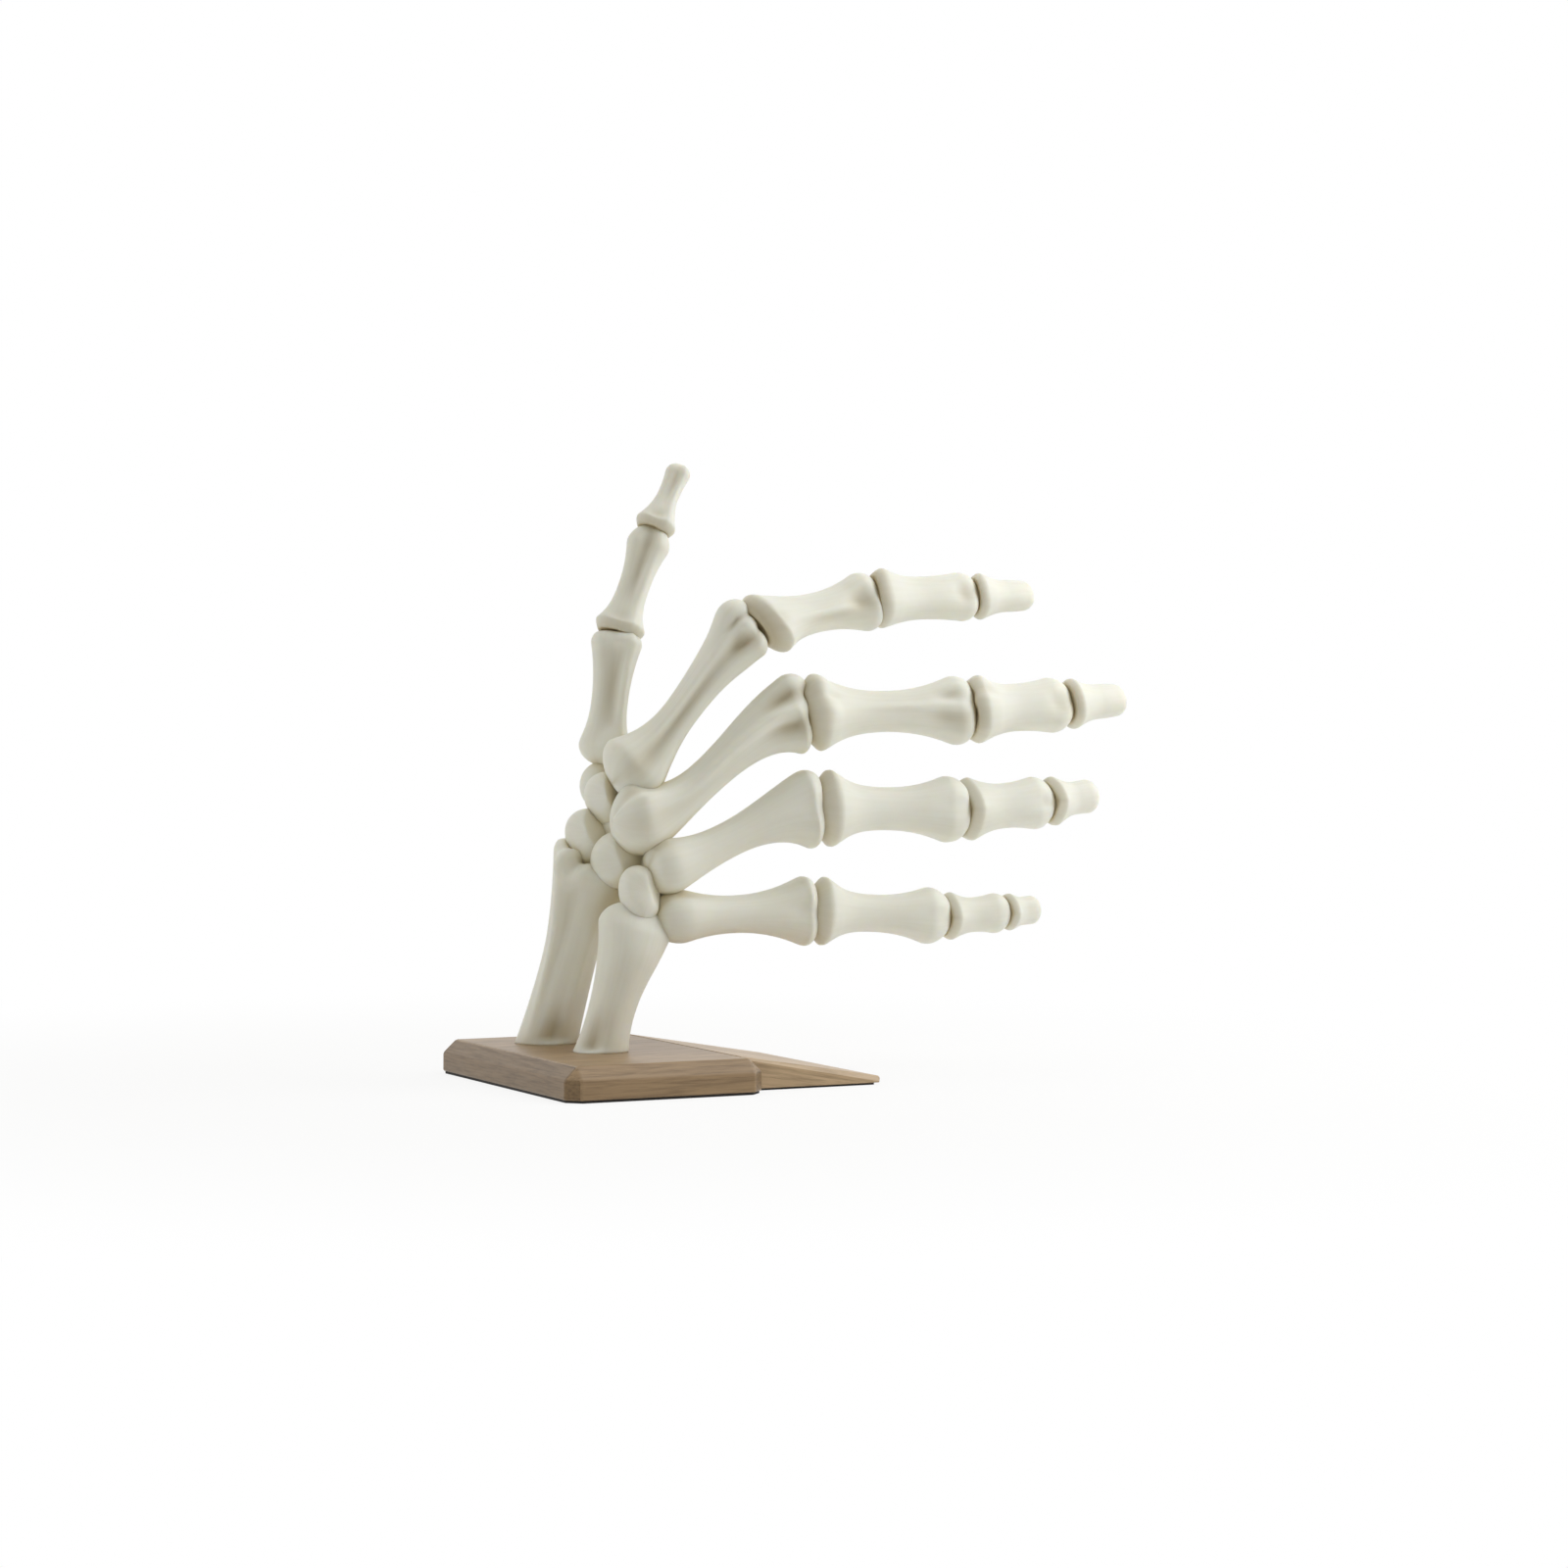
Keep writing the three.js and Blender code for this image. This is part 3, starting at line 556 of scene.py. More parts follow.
def hand_bone(name, kind, span, base, shaft, head, lean, roll, slants):
    """Grid of a hand bone in its own axes: side, along, back."""
    form = {**FORMS[kind], **SHAPES.get(name, {})}
    length = span - FIT
    outline = bone_outline(length, base, shaft, head, form)
    crisp = soften(outline, ROUNDING)
    if "knob" in form:
        near_base = 1 - smooth_step(crisp[:, :1] / (KNOB_REACH * length))
        soft_knob = soften(outline, form.get("knob_round", KNOB_ROUNDING))
        crisp = crisp + (soft_knob - crisp) * near_base
    side, along, back, angle = turned(crisp)
    share = np.clip(along / length, 0.0, 1.0)
    depth = between_ends(share, *form["depth"])
    keel_base, keel_head = form.get("keel", (SQUARENESS, SQUARENESS))
    shaft_square = form.get("shaft_square", SQUARENESS)
    keeled = between_ends(share, keel_base, shaft_square, keel_head, KEEL_PACE)
    plain = between_ends(share, SQUARENESS, shaft_square, SQUARENESS, KEEL_PACE)
    square = squared(angle, np.where(np.cos(angle) > 0, keeled, plain))
    on_head = smooth_step((along - length + GROOVE_START * head) / (GROOVE_RUN * head))
    valley = form["groove"] * on_head * np.exp(-((side / (GROOVE_SPREAD * head)) ** 2))
    radius = np.hypot(side, back)
    local = np.stack([side * square, along, back * square * depth * (1 - valley)], axis=2)
    height = detail_height(DETAILS.get(name, ()), share, length, angle, radius)
    local = local + normals_of(local) * height[..., None]
    flat, along, deep = local[..., 0], local[..., 1], local[..., 2]
    across = flat * math.cos(roll) - deep * math.sin(roll)
    back = flat * math.sin(roll) + deep * math.cos(roll)
    at_base = 1 - smooth_step(along / (SLANT_REACH * base))
    at_head = smooth_step((along - length) / (SLANT_REACH * head) + 1)
    along = along - back * (math.tan(slants[0]) * at_base + math.tan(slants[1]) * at_head)
    share = np.clip(along / length, 0.0, 1.0)
    s0 = slope_of(lean.get("base", 0))
    s1 = slope_of(lean.get("head", 0))
    aside = s0 * (share ** 3 - 2 * share ** 2 + share) + s1 * (share ** 3 - share ** 2)
    slope = s0 * (3 * share ** 2 - 4 * share + 1) + s1 * (3 * share ** 2 - 2 * share)
    cut = slope_of(lean.get("askew", 0)) * (1 - smooth_step(along / (ASKEW_REACH * base)))
    tilt = np.arctan(slope + cut)
    past = along - share * length
    bent_side = length * aside + across * np.cos(tilt) + past * np.sin(tilt)
    bent_along = share * length - across * np.sin(tilt) + past * np.cos(tilt)
    crest = 0 if "knob" in form else int(np.argmax(radius[:RINGS // 3].mean(axis=1)))
    return np.stack([bent_side, bent_along, back], axis=2), crest, height, form.get("base_shade", 0.0)


def forearm_bone(name, bone):
    """Grid of a forearm bone: a foot cut level, the shaft, and the cup or dome on top."""
    start = Vector((*bone["foot"], BOARD_TOP - FOOT_SUNK))
    axis = Vector(bone["top"]) - start
    length = axis.length
    axis.normalize()
    place = placement(start, axis, Vector((0, -1, 0)))
    foot, shaft, head = (width / 2 for width in bone["widths"])
    neck = length - bone["dome"] * head
    sides = sunk_sides(0.0, neck, bone["waist"], foot, shaft, head)
    top = arc(neck, length - neck, head)[1:]
    if bone["cup"]:
        floor = length - bone["cup"] * head
        top = np.array([
            [neck + CUP_SHOULDER[0] * (length - neck), CUP_SHOULDER[1] * head],
            [length, CUP_LIP * head],
            [floor, CUP_FLOOR * head],
            [floor - CUP_DIP, 0.0],
        ])
    outline = np.concatenate([[[0.0, 0.0]], [[0.0, foot]], sides, top])
    rounded = soften(outline, ROUNDING)
    level = smooth_step(rounded[:, :1] / FOOT_CRISP)
    crisp = resample(outline, len(rounded))
    side, along, back, angle = turned(crisp * (1 - level) + rounded * level)
    at_top = smooth_step((along - TOP_START * length) / (TOP_RUN * length))
    lean_side = -place.to_3x3().col[0].z / axis.z
    lean_back = -place.to_3x3().col[2].z / axis.z
    at_foot = 1 - smooth_step(along / FOOT_LEVEL)
    share = np.clip(along / length, 0.0, 1.0)
    radius = np.hypot(side, back)
    lift = detail_height(LIFTS.get(name, ()), share, length, angle, radius)
    along = along + at_top * (bone["slant"][0] * side + bone["slant"][1] * back) + lift
    along = along + at_foot * (lean_side * side + lean_back * back)
    back = np.where(back > 0, back * (1 - bone["thinned"] * at_top), back)
    local = np.stack([side, along, back], axis=2)
    height = detail_height(DETAILS.get(name, ()), share, length, angle, radius)
    height = height * smooth_step(share * length / FOOT_PLAIN)
    return local + normals_of(local) * height[..., None], place, height


def seen_from_camera(shares):
    """World direction of shares to the right, up and towards the viewer."""
    right, up, near = shares
    turn = CAMERA_TURN
    x = right * math.cos(turn) - near * math.sin(turn)
    y = -right * math.sin(turn) - near * math.cos(turn)
    return Vector((x, y, up)).normalized()


def carpal_bone(name, half, turn):
    """Grid of a wrist bone about its centre."""
    polar = np.linspace(0.0, math.pi, RINGS)[:, None]
    angle = (np.arange(SIDES) * 2 * math.pi / SIDES)[None, :]
    x = np.sin(polar) * np.sin(angle)
    z = np.sin(polar) * np.cos(angle)
    y = np.repeat(-np.cos(polar), SIDES, axis=1)
    sphere = np.stack([x, y, z], axis=2)
    ball = sphere
    back_turn = Matrix.Rotation(-turn, 3, "Y")
    for shares, reach in FLATS.get(name, ()):
        pole = np.array(back_turn @ seen_from_camera(shares))
        beyond = ball @ pole - reach
        over = 0.5 * (beyond + np.sqrt(beyond ** 2 + FLAT_EDGE ** 2))
        ball = ball - FLATTENED * over[..., None] * pole
    local = ball * np.array(half)
    height = np.zeros(x.shape)
    for shares, rise, width in SWELLS.get(name, ()):
        pole = np.array(back_turn @ seen_from_camera(shares))
        gap = np.arccos(np.clip(sphere @ pole, -1.0, 1.0))
        height += rise * np.exp(-((gap / math.radians(width)) ** 2))
    return local + normals_of(local) * height[..., None]


def placement(start, axis, back_hint):
    """Matrix of a piece built along Y with its back to Z, that starts at a point and runs along an axis."""
    side = axis.cross(back_hint).normalized()
    back = side.cross(axis)
    matrix = Matrix((side, axis, back)).transposed().to_4x4()
    matrix.translation = start
    return matrix


def direction_of(lift, turn):
    """Unit vector that rises from level by one angle and turns from X to Y by another, in degrees."""
    up = math.radians(lift)
    around = math.radians(turn)
    return Vector((math.cos(up) * math.cos(around), math.cos(up) * math.sin(around), math.sin(up)))


def mesh_of_grid(name, grid, place, height, crest=0, base_shade=0.0):
    """A closed, smooth mesh over a grid whose first and last rings are poles.

    Its UV map runs lengthwise. A base given painted shade, up to the crest's ring, lies under END_MARK by
    that share. Its attribute says how deep the small hollows are, for the painted shade laid in them.
    """
    rings, sides = grid.shape[:2]
    marks = [END_MARK * (1 - base_shade), END_MARK, END_MARK, 1.0]
    heights = np.interp(np.arange(rings + 1), [0, crest, crest + 0.5, rings], marks)
    depths = [height[0].mean(), *height[1:-1].ravel(), height[-1].mean()]
    corners = [tuple(place @ Vector(grid[0].mean(axis=0)) * MM)]
    matrix = np.array(place)
    inner = grid[1:-1].reshape(-1, 3) @ matrix[:3, :3].T + matrix[:3, 3]
    corners += [tuple(p) for p in inner * MM]
    corners.append(tuple(place @ Vector(grid[-1].mean(axis=0)) * MM))
    last = len(corners) - 1
    faces = []
    uvs = []
    rows = rings - 2
    for j in range(sides):
        k = (j + 1) % sides
        faces.append((0, 1 + k, 1 + j))
        uvs += [((j + 0.5) / sides, heights[0]), ((j + 1) / sides, heights[1]), (j / sides, heights[1])]
        for i in range(rows - 1):
            a = 1 + i * sides
            b = a + sides
            faces.append((a + j, a + k, b + k, b + j))
            low = heights[i + 1]
            high = heights[i + 2]
            uvs += [(j / sides, low), ((j + 1) / sides, low), ((j + 1) / sides, high), (j / sides, high)]
        a = 1 + (rows - 1) * sides
        faces.append((a + j, a + k, last))
        uvs += [(j / sides, heights[rows]), ((j + 1) / sides, heights[rows]), ((j + 0.5) / sides, 1.0)]
    mesh = bpy.data.meshes.new(name)
    mesh.from_pydata(corners, [], faces)
    # The depth of the small hollows, read by the bone material for its painted shade
    hollow_shades = mesh.attributes.new("painted_hollow_shade", "FLOAT", "POINT")
    shares = np.clip(np.array(depths) / -DEEPEST, 0.0, 1.0)
    hollow_shades.data.foreach_set("value", shares.astype(np.float32))
    layer = mesh.uv_layers.new(name="lengthwise")
    layer.data.foreach_set("uv", np.array(uvs, dtype=np.float32).ravel())
    mesh.polygons.foreach_set("use_smooth", [True] * len(faces))
    mesh.update()
    return mesh


def add_piece(name, mesh, material, node):
    piece = bpy.data.objects.new(name, mesh)
    bpy.context.scene.collection.objects.link(piece)
    mesh.materials.append(material)
    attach(piece, BODY)
    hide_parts(node)
    return piece


# Materials: where a ramp between two tones starts and ends on a noise
TONE_REACH = (0.3, 0.7)
WHITE = (1.0, 1.0, 1.0)
BLACK = (0.0, 0.0, 0.0)

# Cast bone: tones of its cloud and its fibres, and the painted shade that darkens its crevices, the bevels of
# its bases at the joints and its small hollows
BONE_TONES = ((0.855, 0.85, 0.76), (0.895, 0.895, 0.825))
BONE_FIBRE = (0.95, 0.945, 0.92)
BONE_CREVICE_SHADE = (0.86, 0.78, 0.62)
BONE_BASE_SHADE = (0.68, 0.61, 0.49)
BONE_HOLLOW_SHADE = (0.66, 0.59, 0.46)
FIBRE_REACH = (0.35, 0.62)
CREVICE_SHADE_REACH = (0.25, 0.85)
BASE_SHADE_REACH = (0.75 * END_MARK, 1.05 * END_MARK)
FIBRE_SHARE = 0.5
CREVICE_SHADE_SHARE = 0.8
BASE_SHADE_SHARE = 0.9
HOLLOW_SHADE_SHARE = 0.9
CLOUD_SCALE = 38.0
PIT_SCALE = 160.0
STREAK_STRETCH = (46.0, 2.2, 1.0)
STREAK_DETAIL = 6.0
CREVICE_SHADE_DISTANCE = 0.011
CREVICE_SHADE_SAMPLES = 8
BONE_ROUGHNESS = (0.46, 0.56)
BONE_GLOSS = 0.35
UNDER_SKIN = {"Weight": 0.45, "Radius": (1.0, 0.8, 0.5), "Scale": 0.0035}
STREAK_BUMP = (0.05, 0.0004)
PIT_BUMP = (0.06, 0.0006)

# Oak: how its noises are stretched along the grain, and the tones that they lay over each other
BAND_STRETCH = (7.0, 70.0, 260.0)
WAVE_STRETCH = (26.0, 200.0, 520.0)
FIBRE_STRETCH = (70.0, 900.0, 1250.0)
CUT_STRETCH = (900.0, 70.0, 1250.0)
END_FACE_REACH = (0.6, 0.66)
END_GRAIN_DARK = 0.8
WAVE_TONE = (0.86, 0.845, 0.82)
WAVE_REACH = (0.36, 0.58)
WAVE_SHARE = 0.6
THREAD_TONE = (0.56, 0.53, 0.49)
THREAD_REACH = (0.36, 0.56)
THREAD_SHARE = 0.7
OAK_ROUGHNESS = (0.5, 0.38)
OAK_COAT = {"Weight": 0.2, "Roughness": 0.32}
FINE_BUMP = (0.2, 0.0003)


def new_material(name):
    material = bpy.data.materials.new(name)
    material.use_nodes = True
    nodes = material.node_tree.nodes
    return material, nodes, material.node_tree.links, nodes["Principled BSDF"]


def noise(nodes, links, vector, scale, detail=4.0, rough=0.55):
    node = nodes.new("ShaderNodeTexNoise")
    node.inputs["Scale"].default_value = scale
    node.inputs["Detail"].default_value = detail
    node.inputs["Roughness"].default_value = rough
    links.new(vector, node.inputs["Vector"])
    return node.outputs["Fac"]


def stretch(nodes, links, vector, scale):
    node = nodes.new("ShaderNodeMapping")
    node.inputs["Scale"].default_value = scale
    links.new(vector, node.inputs["Vector"])
    return node.outputs["Vector"]


def ramp(nodes, links, value, stops):
    node = nodes.new("ShaderNodeValToRGB")
    elements = node.color_ramp.elements
    while len(elements) < len(stops):
        elements.new(0.5)
    for element, (place, colour) in zip(elements, stops):
        element.position = place
        element.color = (*colour, 1.0)
    links.new(value, node.inputs["Fac"])
    return node.outputs["Color"]


def tones(low, high, reach=TONE_REACH):
    """Stops of a ramp from one tone to another."""
    return list(zip(reach, (low, high)))


def greys(levels):
    """Stops of a ramp from one level of grey to another."""
    low, high = levels
    return tones((low, low, low), (high, high, high))


def blend(nodes, links, factor, first, second, mode="MIX"):
    node = nodes.new("ShaderNodeMix")
    node.data_type = "RGBA"
    node.blend_type = mode
    if isinstance(factor, float):
        node.inputs["Factor"].default_value = factor
    else:
        links.new(factor, node.inputs["Factor"])
    links.new(first, node.inputs["A"])
    links.new(second, node.inputs["B"])
    return node.outputs["Result"]


def bump(nodes, links, height, strength, distance, under=None):
    node = nodes.new("ShaderNodeBump")
    node.inputs["Strength"].default_value = strength
    node.inputs["Distance"].default_value = distance
    links.new(height, node.inputs["Height"])
    if under is not None:
        links.new(under, node.inputs["Normal"])
    return node.outputs["Normal"]


def bone_material():
    material, nodes, links, shader = new_material("cast_bone")
    coords = nodes.new("ShaderNodeTexCoord")
    cloud = noise(nodes, links, coords.outputs["Object"], CLOUD_SCALE)
    tone = ramp(nodes, links, cloud, tones(*BONE_TONES))
    streaked = stretch(nodes, links, coords.outputs["UV"], STREAK_STRETCH)
    streak = noise(nodes, links, streaked, 1.0, STREAK_DETAIL)
    fibre = ramp(nodes, links, streak, tones(BONE_FIBRE, WHITE, FIBRE_REACH))
    clean = blend(nodes, links, FIBRE_SHARE, tone, fibre, "MULTIPLY")
    # Painted shade: ambient occlusion darkens the crevices and the narrow gaps between bones with a tan tint
    occlusion = nodes.new("ShaderNodeAmbientOcclusion")
    occlusion.samples = CREVICE_SHADE_SAMPLES
    occlusion.inputs["Distance"].default_value = CREVICE_SHADE_DISTANCE
    crevice_shade = ramp(nodes, links, occlusion.outputs["AO"], tones(BONE_CREVICE_SHADE, WHITE, CREVICE_SHADE_REACH))
    crevice_shaded = blend(nodes, links, CREVICE_SHADE_SHARE, clean, crevice_shade, "MULTIPLY")
    # Painted shade on the bevel of each base, where it faces the bone before it, laid by the lengthwise UV
    lengthwise = nodes.new("ShaderNodeSeparateXYZ")
    links.new(coords.outputs["UV"], lengthwise.inputs["Vector"])
    base_shade = ramp(nodes, links, lengthwise.outputs["Y"], tones(BONE_BASE_SHADE, WHITE, BASE_SHADE_REACH))
    base_shaded = blend(nodes, links, BASE_SHADE_SHARE, crevice_shaded, base_shade, "MULTIPLY")
    # Painted shade in the small hollows, as deep as the mesh's attribute says
    hollow_shade_mask = nodes.new("ShaderNodeAttribute")
    hollow_shade_mask.attribute_name = "painted_hollow_shade"
    tan = ramp(nodes, links, hollow_shade_mask.outputs["Fac"], tones(WHITE, BONE_HOLLOW_SHADE, (0.0, 1.0)))
    links.new(blend(nodes, links, HOLLOW_SHADE_SHARE, base_shaded, tan, "MULTIPLY"), shader.inputs["Base Color"])
    polish = ramp(nodes, links, cloud, greys(BONE_ROUGHNESS))
    links.new(polish, shader.inputs["Roughness"])
    shader.inputs["Specular IOR Level"].default_value = BONE_GLOSS
    for key, value in UNDER_SKIN.items():
        shader.inputs[f"Subsurface {key}"].default_value = value
    grain = bump(nodes, links, streak, *STREAK_BUMP)
    pitted = noise(nodes, links, coords.outputs["Object"], PIT_SCALE)
    links.new(bump(nodes, links, pitted, *PIT_BUMP, grain), shader.inputs["Normal"])
    return material


def oak_material(name, pale, dark, end_grain, seed, tilt=0.0):
    """Oak with its grain along X, tilted down by an angle, and dashes along Y on the faces that cut it."""
    material, nodes, links, shader = new_material(name)
    place = nodes.new("ShaderNodeMapping")
    place.inputs["Location"].default_value = seed
    place.inputs["Rotation"].default_value = (0.0, -tilt, 0.0)
    links.new(nodes.new("ShaderNodeTexCoord").outputs["Object"], place.inputs["Vector"])
    plank = place.outputs["Vector"]
    facing = nodes.new("ShaderNodeSeparateXYZ")
    links.new(nodes.new("ShaderNodeNewGeometry").outputs["Normal"], facing.inputs["Vector"])
    steep = nodes.new("ShaderNodeMath")
    steep.operation = "ABSOLUTE"
    links.new(facing.outputs["X"], steep.inputs[0])
    across = ramp(nodes, links, steep.outputs["Value"], tones(BLACK, WHITE, END_FACE_REACH))
    bands = noise(nodes, links, stretch(nodes, links, plank, BAND_STRETCH), 1.0, 5.0, 0.6)
    waves = noise(nodes, links, stretch(nodes, links, plank, WAVE_STRETCH), 1.0, 4.0, 0.6)
    long_fibres = noise(nodes, links, stretch(nodes, links, plank, FIBRE_STRETCH), 1.0, 3.0, 0.65)
    cut_fibres = noise(nodes, links, stretch(nodes, links, plank, CUT_STRETCH), 1.0, 3.0, 0.65)
    fibres = blend(nodes, links, across, long_fibres, cut_fibres)
    tone = ramp(nodes, links, bands, tones(dark, pale))
    end_dark = [END_GRAIN_DARK * part for part in end_grain]
    end_tone = ramp(nodes, links, bands, tones(end_dark, end_grain))
    face = blend(nodes, links, across, tone, end_tone)
    wave = ramp(nodes, links, waves, tones(WAVE_TONE, WHITE, WAVE_REACH))
    thread = ramp(nodes, links, fibres, tones(THREAD_TONE, WHITE, THREAD_REACH))
    wood = blend(nodes, links, WAVE_SHARE, face, wave, "MULTIPLY")
    links.new(blend(nodes, links, THREAD_SHARE, wood, thread, "MULTIPLY"), shader.inputs["Base Color"])
    polish = ramp(nodes, links, fibres, greys(OAK_ROUGHNESS))
    links.new(polish, shader.inputs["Roughness"])
    for key, value in OAK_COAT.items():
        shader.inputs[f"Coat {key}"].default_value = value
    links.new(bump(nodes, links, fibres, *FINE_BUMP), shader.inputs["Normal"])
    return material


def plain_material(name, low, high, scale, rough, metal):
    material, nodes, links, shader = new_material(name)
    coords = nodes.new("ShaderNodeTexCoord").outputs["Object"]
    cloud = noise(nodes, links, coords, scale)
    links.new(ramp(nodes, links, cloud, tones(low, high)), shader.inputs["Base Color"])
    links.new(bump(nodes, links, cloud, *FINE_BUMP), shader.inputs["Normal"])
    shader.inputs["Roughness"].default_value = rough
    shader.inputs["Metallic"].default_value = metal
    return material


bone = bone_material()
oak_board = oak_material(
    "oak_board",
    pale=(0.43, 0.288, 0.15),
    dark=(0.28, 0.178, 0.087),
    end_grain=(0.235, 0.143, 0.054),
    seed=(0.0, 0.0, 0.0),
)
oak_tongue = oak_material(
    "oak_tongue",
    pale=(0.64, 0.465, 0.28),
    dark=(0.5, 0.35, 0.2),
    end_grain=(0.43, 0.27, 0.1),
    seed=(0.31, 0.13, 0.07),
    tilt=TONGUE_SLOPE,
)
beech = plain_material("beech_dowel", (0.46, 0.33, 0.18), (0.56, 0.42, 0.25), 300.0, 0.7, 0.0)
pad_rubber = plain_material("pad_rubber", (0.016, 0.014, 0.012), (0.026, 0.023, 0.02), 900.0, 0.85, 0.0)
steel = plain_material("drawn_steel", (0.36, 0.37, 0.38), (0.45, 0.46, 0.47), 700.0, 0.35, 1.0)

# Bones of the fingers
for finger, (root, back_hint, roll, rows) in FINGERS.items():
    joint = Vector(root)
    first, second, third = (math.radians(slant) for slant in JOINT_SLANTS[finger])
    slants = {
        "metacarpal": (0.0, first),
        "proximal_phalanx": (first, second),
        "middle_phalanx": (second, third),
        "distal_phalanx": (third, 0.0),
    }
    for kind, span, lift, turn, base, shaft, head, lean in rows:
        name = f"{finger}_{kind}"
        axis = direction_of(lift, turn)
        halves = (base / 2, shaft / 2, head / 2)
        rolled = math.radians(roll)
        grid, crest, height, base_shade = hand_bone(name, kind, span, *halves, lean, rolled, slants[kind])
        place = placement(joint + axis * (FIT / 2), axis, Vector(back_hint))
        mesh = mesh_of_grid(f"{name}_cast", grid, place, height, crest, base_shade)
        add_piece(f"{name}_cast", mesh, bone, name)
        joint = joint + axis * span

# Bones of the wrist and forearm
for name, (centre, half, turn) in CARPALS.items():
    place = Matrix.Translation(Vector(centre)) @ Matrix.Rotation(math.radians(turn), 4, "Y")
    grid = carpal_bone(name, half, math.radians(turn))
    mesh = mesh_of_grid(f"{name}_cast", grid, place, np.zeros(grid.shape[:2]))
    add_piece(f"{name}_cast", mesh, bone, name)
for name, row in (("radius", RADIUS), ("ulna", ULNA)):
    grid, place, height = forearm_bone(name, row)
    mesh = mesh_of_grid(f"{name}_cast", grid, place, height)
    add_piece(f"{name}_cast", mesh, bone, name)


def solid_mesh(name, faces):
    """A closed mesh from faces given by their corners, with its edges rounded."""
    form = bmesh.new()
    corners = {}
    for face in faces:
        for corner in face:
            if corner not in corners:
                corners[corner] = form.verts.new([part * MM for part in corner])
        form.faces.new([corners[corner] for corner in face])
    bmesh.ops.recalc_face_normals(form, faces=form.faces)
    return rounded_mesh(name, form)


def rounded_mesh(name, form):
    """The mesh of a form once its sharp edges are rounded."""
    sharp = [edge for edge in form.edges if edge.calc_face_angle(0.0) > SHARP]
    bmesh.ops.bevel(
        form,
        geom=sharp,
        offset=EDGE_ROUND * MM,
        segments=EDGE_STEPS,
        profile=0.5,
        affect="EDGES",
        clamp_overlap=True,
    )
    for face in form.faces:
        face.smooth = True
    mesh = bpy.data.meshes.new(name)
    form.to_mesh(mesh)
    form.free()
    return mesh


def board_faces():
    """Faces of the board: chamfered, its upright corners cut off, and notched where the tongue starts."""
    x, y, low, top = BOARD_EDGE, BOARD_HALF, PAD_THICK, BOARD_TOP
    middle = top - CHAMFER_DOWN
    in_x, in_y = x - CORNER_CUT, y - CORNER_CUT
    top_x, top_y = x - CHAMFER_IN, y - CHAMFER_IN
    slot = TONGUE_HALF + FIT
    faces = [
        [(-x, -in_y, low), (-x, in_y, low), (-x, in_y, middle), (-x, -in_y, middle)],
        [(-x, -in_y, middle), (-x, in_y, middle), (-top_x, top_y, top), (-top_x, -top_y, top)],
        [(top_x, -slot, low), (top_x, slot, low), (top_x, slot, top), (top_x, -slot, top)],
        [
            (-top_x, -top_y, top),
            (top_x, -top_y, top),
            (top_x, -slot, top),
            (top_x, slot, top),
            (top_x, top_y, top),
            (-top_x, top_y, top),
        ],
    ]
    under = []
    for s in (-1, 1):
        faces += [
            [(-in_x, s * y, low), (in_x, s * y, low), (in_x, s * y, middle), (-in_x, s * y, middle)],
            [
                (-in_x, s * y, middle),
                (in_x, s * y, middle),
                (top_x, s * top_y, top),
                (-top_x, s * top_y, top),
            ],
            [(x, s * in_y, low), (x, s * slot, low), (x, s * slot, middle), (x, s * in_y, middle)],
            [(x, s * in_y, middle), (x, s * slot, middle), (top_x, s * slot, top), (top_x, s * top_y, top)],
            [(top_x, s * slot, low), (x, s * slot, low), (x, s * slot, middle), (top_x, s * slot, top)],
        ]
        for t in (-1, 1):
            on_side, on_end = (t * in_x, s * y), (t * x, s * in_y)
            faces += [
                [(*on_side, low), (*on_end, low), (*on_end, middle), (*on_side, middle)],
                [(*on_side, middle), (*on_end, middle), (t * top_x, s * top_y, top)],
            ]
        side = [
            (-x, s * in_y, low),
            (-in_x, s * y, low),
            (in_x, s * y, low),
            (x, s * in_y, low),
            (x, s * slot, low),
            (top_x, s * slot, low),
        ]
        under += side if s < 0 else side[::-1]
    return [*faces, under]


def tongue_mesh(name):
    """The wedge from the board's top down to a rounded nose, its long edges eased."""
    radius = TONGUE_NOSE / 2
    nose = TONGUE_TIP - radius
    ends = [(ROOT_FACE + FIT, BOARD_TOP, EASE_ROOT), (nose, PAD_THICK + TONGUE_NOSE, EASE_NOSE)]
    points = []
    for s in (-1, 1):
        for x, high, eased in ends:
            points += [(x, s * TONGUE_HALF, PAD_THICK), (x, s * TONGUE_HALF, high - eased)]
            points.append((x, s * (TONGUE_HALF - eased), high))
        for angle in np.radians(NOSE_DEGREES):
            rise = PAD_THICK + radius + radius * math.sin(angle)
            points.append((nose + radius * math.cos(angle), s * (TONGUE_HALF - EASE_NOSE), rise))
    form = bmesh.new()
    corners = [form.verts.new([part * MM for part in point]) for point in points]
    bmesh.ops.convex_hull(form, input=corners)
    bmesh.ops.dissolve_limit(form, angle_limit=NEARLY_FLAT, verts=form.verts, edges=form.edges)
    return rounded_mesh(name, form)


def even_shading(piece):
    """Keeps the flat faces flat beside their rounded edges."""
    weighted = piece.modifiers.new("even_shading", "WEIGHTED_NORMAL")
    weighted.weight = NORMAL_WEIGHT


# The base
board_mesh = solid_mesh("board_plank", board_faces())
even_shading(add_piece("board_plank", board_mesh, oak_board, "base_board"))
even_shading(add_piece("tongue_wedge", tongue_mesh("tongue_wedge"), oak_tongue, "wedge_tongue"))

# Pad and fasteners keep their CAD shape
SLOT_LOOKS = {"beech": beech, "rubber": pad_rubber, "steel": steel}
slots = {row["node"]: row["material_slot"] for row in frame["record"]["subparts"]}
for name, node in frame["nodes"].items():
    look = SLOT_LOOKS.get(slots[name])
    if look is None:
        continue
    node.data.materials.clear()
    node.data.materials.append(look)

